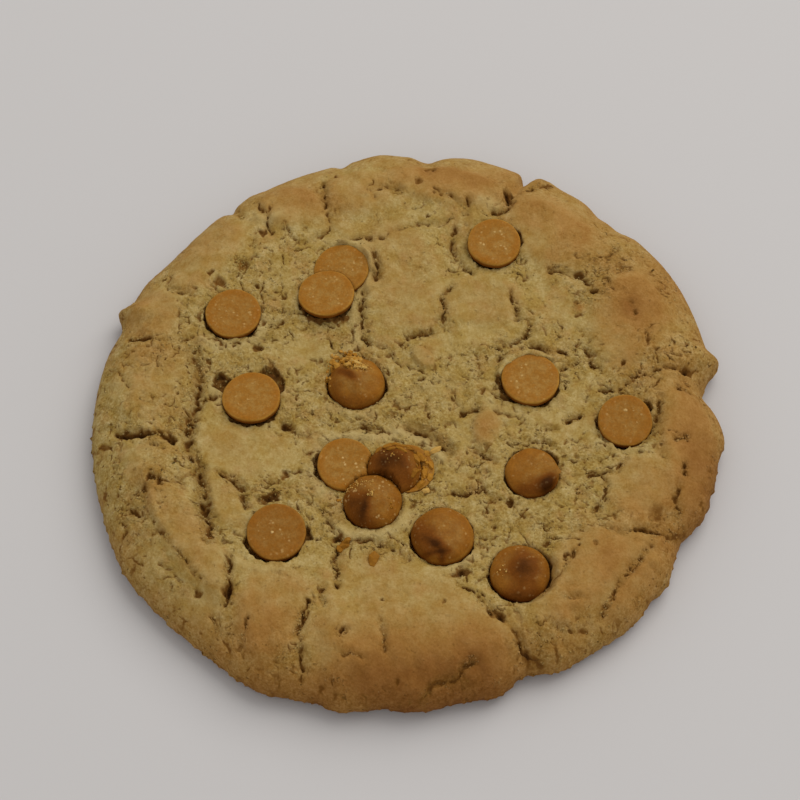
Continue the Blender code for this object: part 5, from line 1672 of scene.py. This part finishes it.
for middle_x, middle_y, radius, *_ in DROPS.values():
    clear &= np.hypot(x - middle_x, y - middle_y) > radius * 0.99
x, y = x[clear], y[clear]
size = CRUMB_SMALLEST + CRUMB_RANGE * chance.uniform(0.0, 1.0, len(x)) ** 2
places = np.stack([x, y, top_levels([dough_tree], x, y) - CRUMB_SUNK * size], 1)
crumbs, lump = grains("dough_crumbs", places, size[:, None] * chance.uniform(*GRAIN_UNEVEN, (len(x), 3)), 8)
tone = chance.uniform(-0.3, 0.25, len(x))
add_fields(
    crumbs,
    browned=(browning_and_painted_light(x, y, crust(x, y)) + tone)[lump],
    opening=np.zeros(len(lump)),
    valley=np.zeros(len(lump)),
    rough=np.full(len(lump), 0.6),
    pale=np.full(len(lump), 0.2),
)
place(crumbs, baked, None)


# Caramel bits
# Broken bits of the drops and of sugar: a heap on one pointed drop, shards and flakes over the
# dark one in the middle, crystals on the point of the one before it, and a few in the dough.

# Heaps: (x, y, half length, half width, count, smallest, largest, lift, darkest, palest)
HEAPS = (
    (-10.0, 8.3, 2.4, 1.7, 90, 0.2, 0.5, 0.4, 0.42, 0.72),
    (-8.8, 7.0, 1.7, 1.3, 60, 0.2, 0.48, 0.7, 0.48, 0.85),
    (-7.5, 5.9, 1.2, 0.8, 30, 0.15, 0.36, 0.35, 0.5, 1.0),
    (-12.6, 6.9, 0.8, 1.0, 20, 0.15, 0.36, 0.15, 0.36, 0.6),
    (-13.4, 4.4, 0.5, 2.0, 22, 0.12, 0.26, 0.1, 0.45, 0.7),
    (-5.9, -18.2, 0.7, 0.8, 16, 0.1, 0.22, 0.1, 0.7, 1.0),
    (-7.4, -15.6, 2.6, 0.7, 30, 0.07, 0.17, 0.04, 0.75, 0.95),
    (-9.2, -16.4, 1.4, 0.9, 16, 0.07, 0.16, 0.04, 0.75, 0.95),
    (-11.2, -18.0, 0.5, 0.5, 6, 0.15, 0.3, 0.1, 0.4, 0.5),
    (-2.6, -11.2, 2.0, 1.6, 16, 0.08, 0.18, 0.05, 0.6, 0.9),
    (2.6, -12.4, 1.3, 3.0, 36, 0.15, 0.4, 0.1, 0.36, 0.6),
    (2.5, -16.4, 1.0, 0.6, 12, 0.1, 0.22, 0.05, 0.8, 1.0),
    (-2.8, -19.4, 0.5, 1.2, 8, 0.12, 0.22, 0.04, 0.35, 0.5),
    (15.2, -31.2, 0.9, 1.6, 7, 0.08, 0.16, 0.03, 0.8, 0.95),
)

# Shards: (x, y, half length, half width, half thickness, turn, tilt, lift, tone)
SHARDS = (
    (1.0, -13.8, 1.4, 0.5, 0.5, 66.0, 8.0, -0.2, 0.26),
    (1.3, -11.2, 1.1, 0.6, 0.5, 112.0, -22.0, -0.15, 0.36),
    (2.0, -15.2, 1.1, 0.7, 0.5, 40.0, 25.0, -0.15, 0.4),
    (2.6, -13.2, 1.3, 0.7, 0.5, 84.0, -25.0, -0.15, 0.46),
    (2.1, -10.2, 1.2, 0.6, 0.5, 126.0, 26.0, -0.1, 0.4),
    (3.6, -13.8, 0.9, 0.6, 0.5, 60.0, 22.0, -0.1, 0.52),
    (3.7, -11.6, 1.0, 0.65, 0.5, 102.0, -24.0, -0.1, 0.48),
    (3.2, -9.4, 1.0, 0.6, 0.45, 134.0, 20.0, -0.1, 0.56),
    (2.9, -16.4, 0.8, 0.5, 0.4, 20.0, 20.0, 0.0, 0.9),
    (4.6, -9.0, 1.1, 0.6, 0.35, 40.0, 15.0, 0.1, 0.82),
    (-4.6, -9.4, 1.1, 0.5, 0.35, 30.0, 20.0, 0.0, 0.28),
    (-3.2, -8.8, 1.2, 0.5, 0.35, 10.0, -20.0, 0.05, 0.34),
    (-1.8, -8.7, 1.3, 0.5, 0.35, -8.0, 15.0, 0.05, 0.36),
    (-0.3, -9.2, 1.3, 0.5, 0.35, -25.0, -15.0, 0.05, 0.33),
    (-2.6, -9.7, 1.0, 0.4, 0.3, 5.0, 25.0, 0.0, 0.3),
    (-1.0, -10.0, 1.1, 0.4, 0.3, -35.0, 20.0, 0.0, 0.34),
    (-10.3, -26.0, 1.3, 1.0, 0.7, 50.0, 20.0, 0.5, 0.27),
    (-11.0, -26.7, 0.8, 0.7, 0.5, 120.0, 12.0, 0.4, 0.33),
    (-9.8, -25.3, 0.7, 0.6, 0.5, 10.0, 25.0, 0.5, 0.3),
    (-5.6, -29.1, 2.0, 0.95, 0.45, 80.0, 0.0, 0.2, 0.29),
    # These two near-white bits on the crumbled drop's heap are painted glints: their pale tone stands for the
    # shine on it
    (-8.6, 6.6, 0.9, 0.35, 0.2, -20.0, 30.0, 0.5, 0.95),
    (-7.4, 5.7, 0.9, 0.3, 0.2, -15.0, 20.0, 0.3, 0.95),
    (-10.6, 8.2, 0.9, 0.5, 0.3, 40.0, 30.0, 0.4, 0.62),
    (-11.8, 6.8, 0.9, 0.5, 0.3, -60.0, 20.0, 0.2, 0.58),
    (-10.0, 6.4, 0.8, 0.5, 0.3, 10.0, -30.0, 0.5, 0.7),
    (-12.6, 8.0, 0.8, 0.5, 0.3, 60.0, 20.0, 0.1, 0.6),
    (-9.4, 8.6, 0.8, 0.4, 0.25, -30.0, 20.0, 0.2, 0.66),
)

# No bit stands higher than this
HIGHEST_BIT = 11.5

# Bits gather in the middle of a heap and end at this share of its half sizes, and few are large
HEAP_SPREAD = 0.5
HEAP_EDGE = 1.1
HEAP_TILT = 40.0
FEWER_LARGE = 1.6

BIT_DARK = paint(88, 44, 8)
BIT_GOLD = paint(172, 118, 36)
BIT_PALE = paint(200, 162, 88)

bits_finish = Finish("caramel_bits")
tone = bits_finish.field("tone") + (bits_finish.noise(0.4, 2.0) - 0.5) * 0.3
colour = bits_finish.mix(bits_finish.between(tone, 0.0, 0.5), BIT_DARK, BIT_GOLD)
colour = bits_finish.mix(bits_finish.between(tone, 0.5, 1.0), colour, BIT_PALE)
bits_finish.feed("Base Color", colour)
bits_finish.feed("Roughness", 0.5)
bits_finish.feed("Specular IOR Level", 0.05)

chance = np.random.default_rng(21)
drop_trees = [surface_tree(bpy.data.objects["caramel_" + name]) for name in DROPS]
rows = []
for middle_x, middle_y, long, wide, count, smallest, largest, lift, darkest, palest in HEAPS:
    for _ in range(count):
        away_x, away_y = np.clip(chance.normal(0.0, HEAP_SPREAD, 2), -HEAP_EDGE, HEAP_EDGE)
        size = smallest + (largest - smallest) * chance.uniform() ** FEWER_LARGE
        shape = size * chance.uniform(0.6, 1.3, 3)
        height = lift * max(0.0, 1.0 - away_x**2 - away_y**2) * chance.uniform()
        turn = chance.uniform(0.0, 360.0)
        tilt = chance.uniform(-HEAP_TILT, HEAP_TILT)
        tone = chance.uniform(darkest, palest)
        rows.append((middle_x + long * away_x, middle_y + wide * away_y, *shape, turn, tilt, height, tone))
rows = np.array(rows + list(SHARDS))
x, y = rows[:, 0], rows[:, 1]
level = top_levels([dough_tree] + drop_trees, x, y)
places = np.stack([x, y, np.minimum(level + rows[:, 7] + 0.1 * rows[:, 4], HIGHEST_BIT - rows[:, 4])], 1)
bits, lump = grains("caramel_bits", places, rows[:, 2:5], 22, np.radians(rows[:, 5]), np.radians(rows[:, 6]))
add_fields(bits, tone=rows[:, 8][lump])
place(bits, bits_finish, None, smooth=False)


# Floor
# A plain, pale, level surface, wide enough to fill every view.

FLOOR_COLOUR = paint(202, 198, 195)
FLOOR_SIZE = 6.0

bpy.ops.object.select_all(action="DESELECT")
bpy.ops.mesh.primitive_plane_add(size=FLOOR_SIZE)
floor = bpy.context.active_object
floor.name = "floor"
plain = Finish("floor")
plain.feed("Base Color", FLOOR_COLOUR)
plain.feed("Roughness", 0.9)
plain.feed("Specular IOR Level", 0.2)
floor.data.materials.append(plain.material)


# Light
# One large, soft light from the upper right and behind, and an even, pale surround.

# Its place and the side of its square in metres, and its power in watts
KEY_PLACE = (0.5, 0.6, 1.0)
KEY_SIZE = 1.1
KEY_POWER = 9.0
KEY_COLOUR = (1.0, 0.985, 0.96)
AMBIENT = 0.58
AMBIENT_COLOUR = (0.97, 0.98, 1.0, 1.0)

lamp = bpy.data.lights.new("key", "AREA")
lamp.shape = "SQUARE"
lamp.size = KEY_SIZE
lamp.energy = KEY_POWER
lamp.color = KEY_COLOUR
key = bpy.data.objects.new("key", lamp)
key.location = KEY_PLACE
key.rotation_euler = (-Vector(KEY_PLACE)).to_track_quat("-Z", "Y").to_euler()
bpy.context.scene.collection.objects.link(key)

world = bpy.data.worlds.new("surround")
world.use_nodes = True
world.node_tree.nodes["Background"].inputs["Color"].default_value = AMBIENT_COLOUR
world.node_tree.nodes["Background"].inputs["Strength"].default_value = AMBIENT
bpy.context.scene.world = world
bpy.context.scene.view_settings.view_transform = "Standard"


# Camera
# It looks down on the cookie at 61 degrees, from 440 mm away.

# In millimetres, and in degrees above the horizon
CAMERA_AIM = (-1.28, 3.1, 4.0)
CAMERA_ELEVATION = 61.0
CAMERA_DISTANCE = 440.0
CAMERA_LENS = 118.0
CAMERA_SENSOR = 36.0

elevation = math.radians(CAMERA_ELEVATION)
back = Vector((0.0, -math.cos(elevation), math.sin(elevation)))
view = bpy.data.cameras.new("camera")
view.sensor_width = CAMERA_SENSOR
view.lens = CAMERA_LENS
view.clip_start = 0.01
camera = bpy.data.objects.new("camera", view)
camera.location = (Vector(CAMERA_AIM) + back * CAMERA_DISTANCE) * MM
camera.rotation_euler = (-back).to_track_quat("-Z", "Y").to_euler()
bpy.context.scene.collection.objects.link(camera)
bpy.context.scene.camera = camera
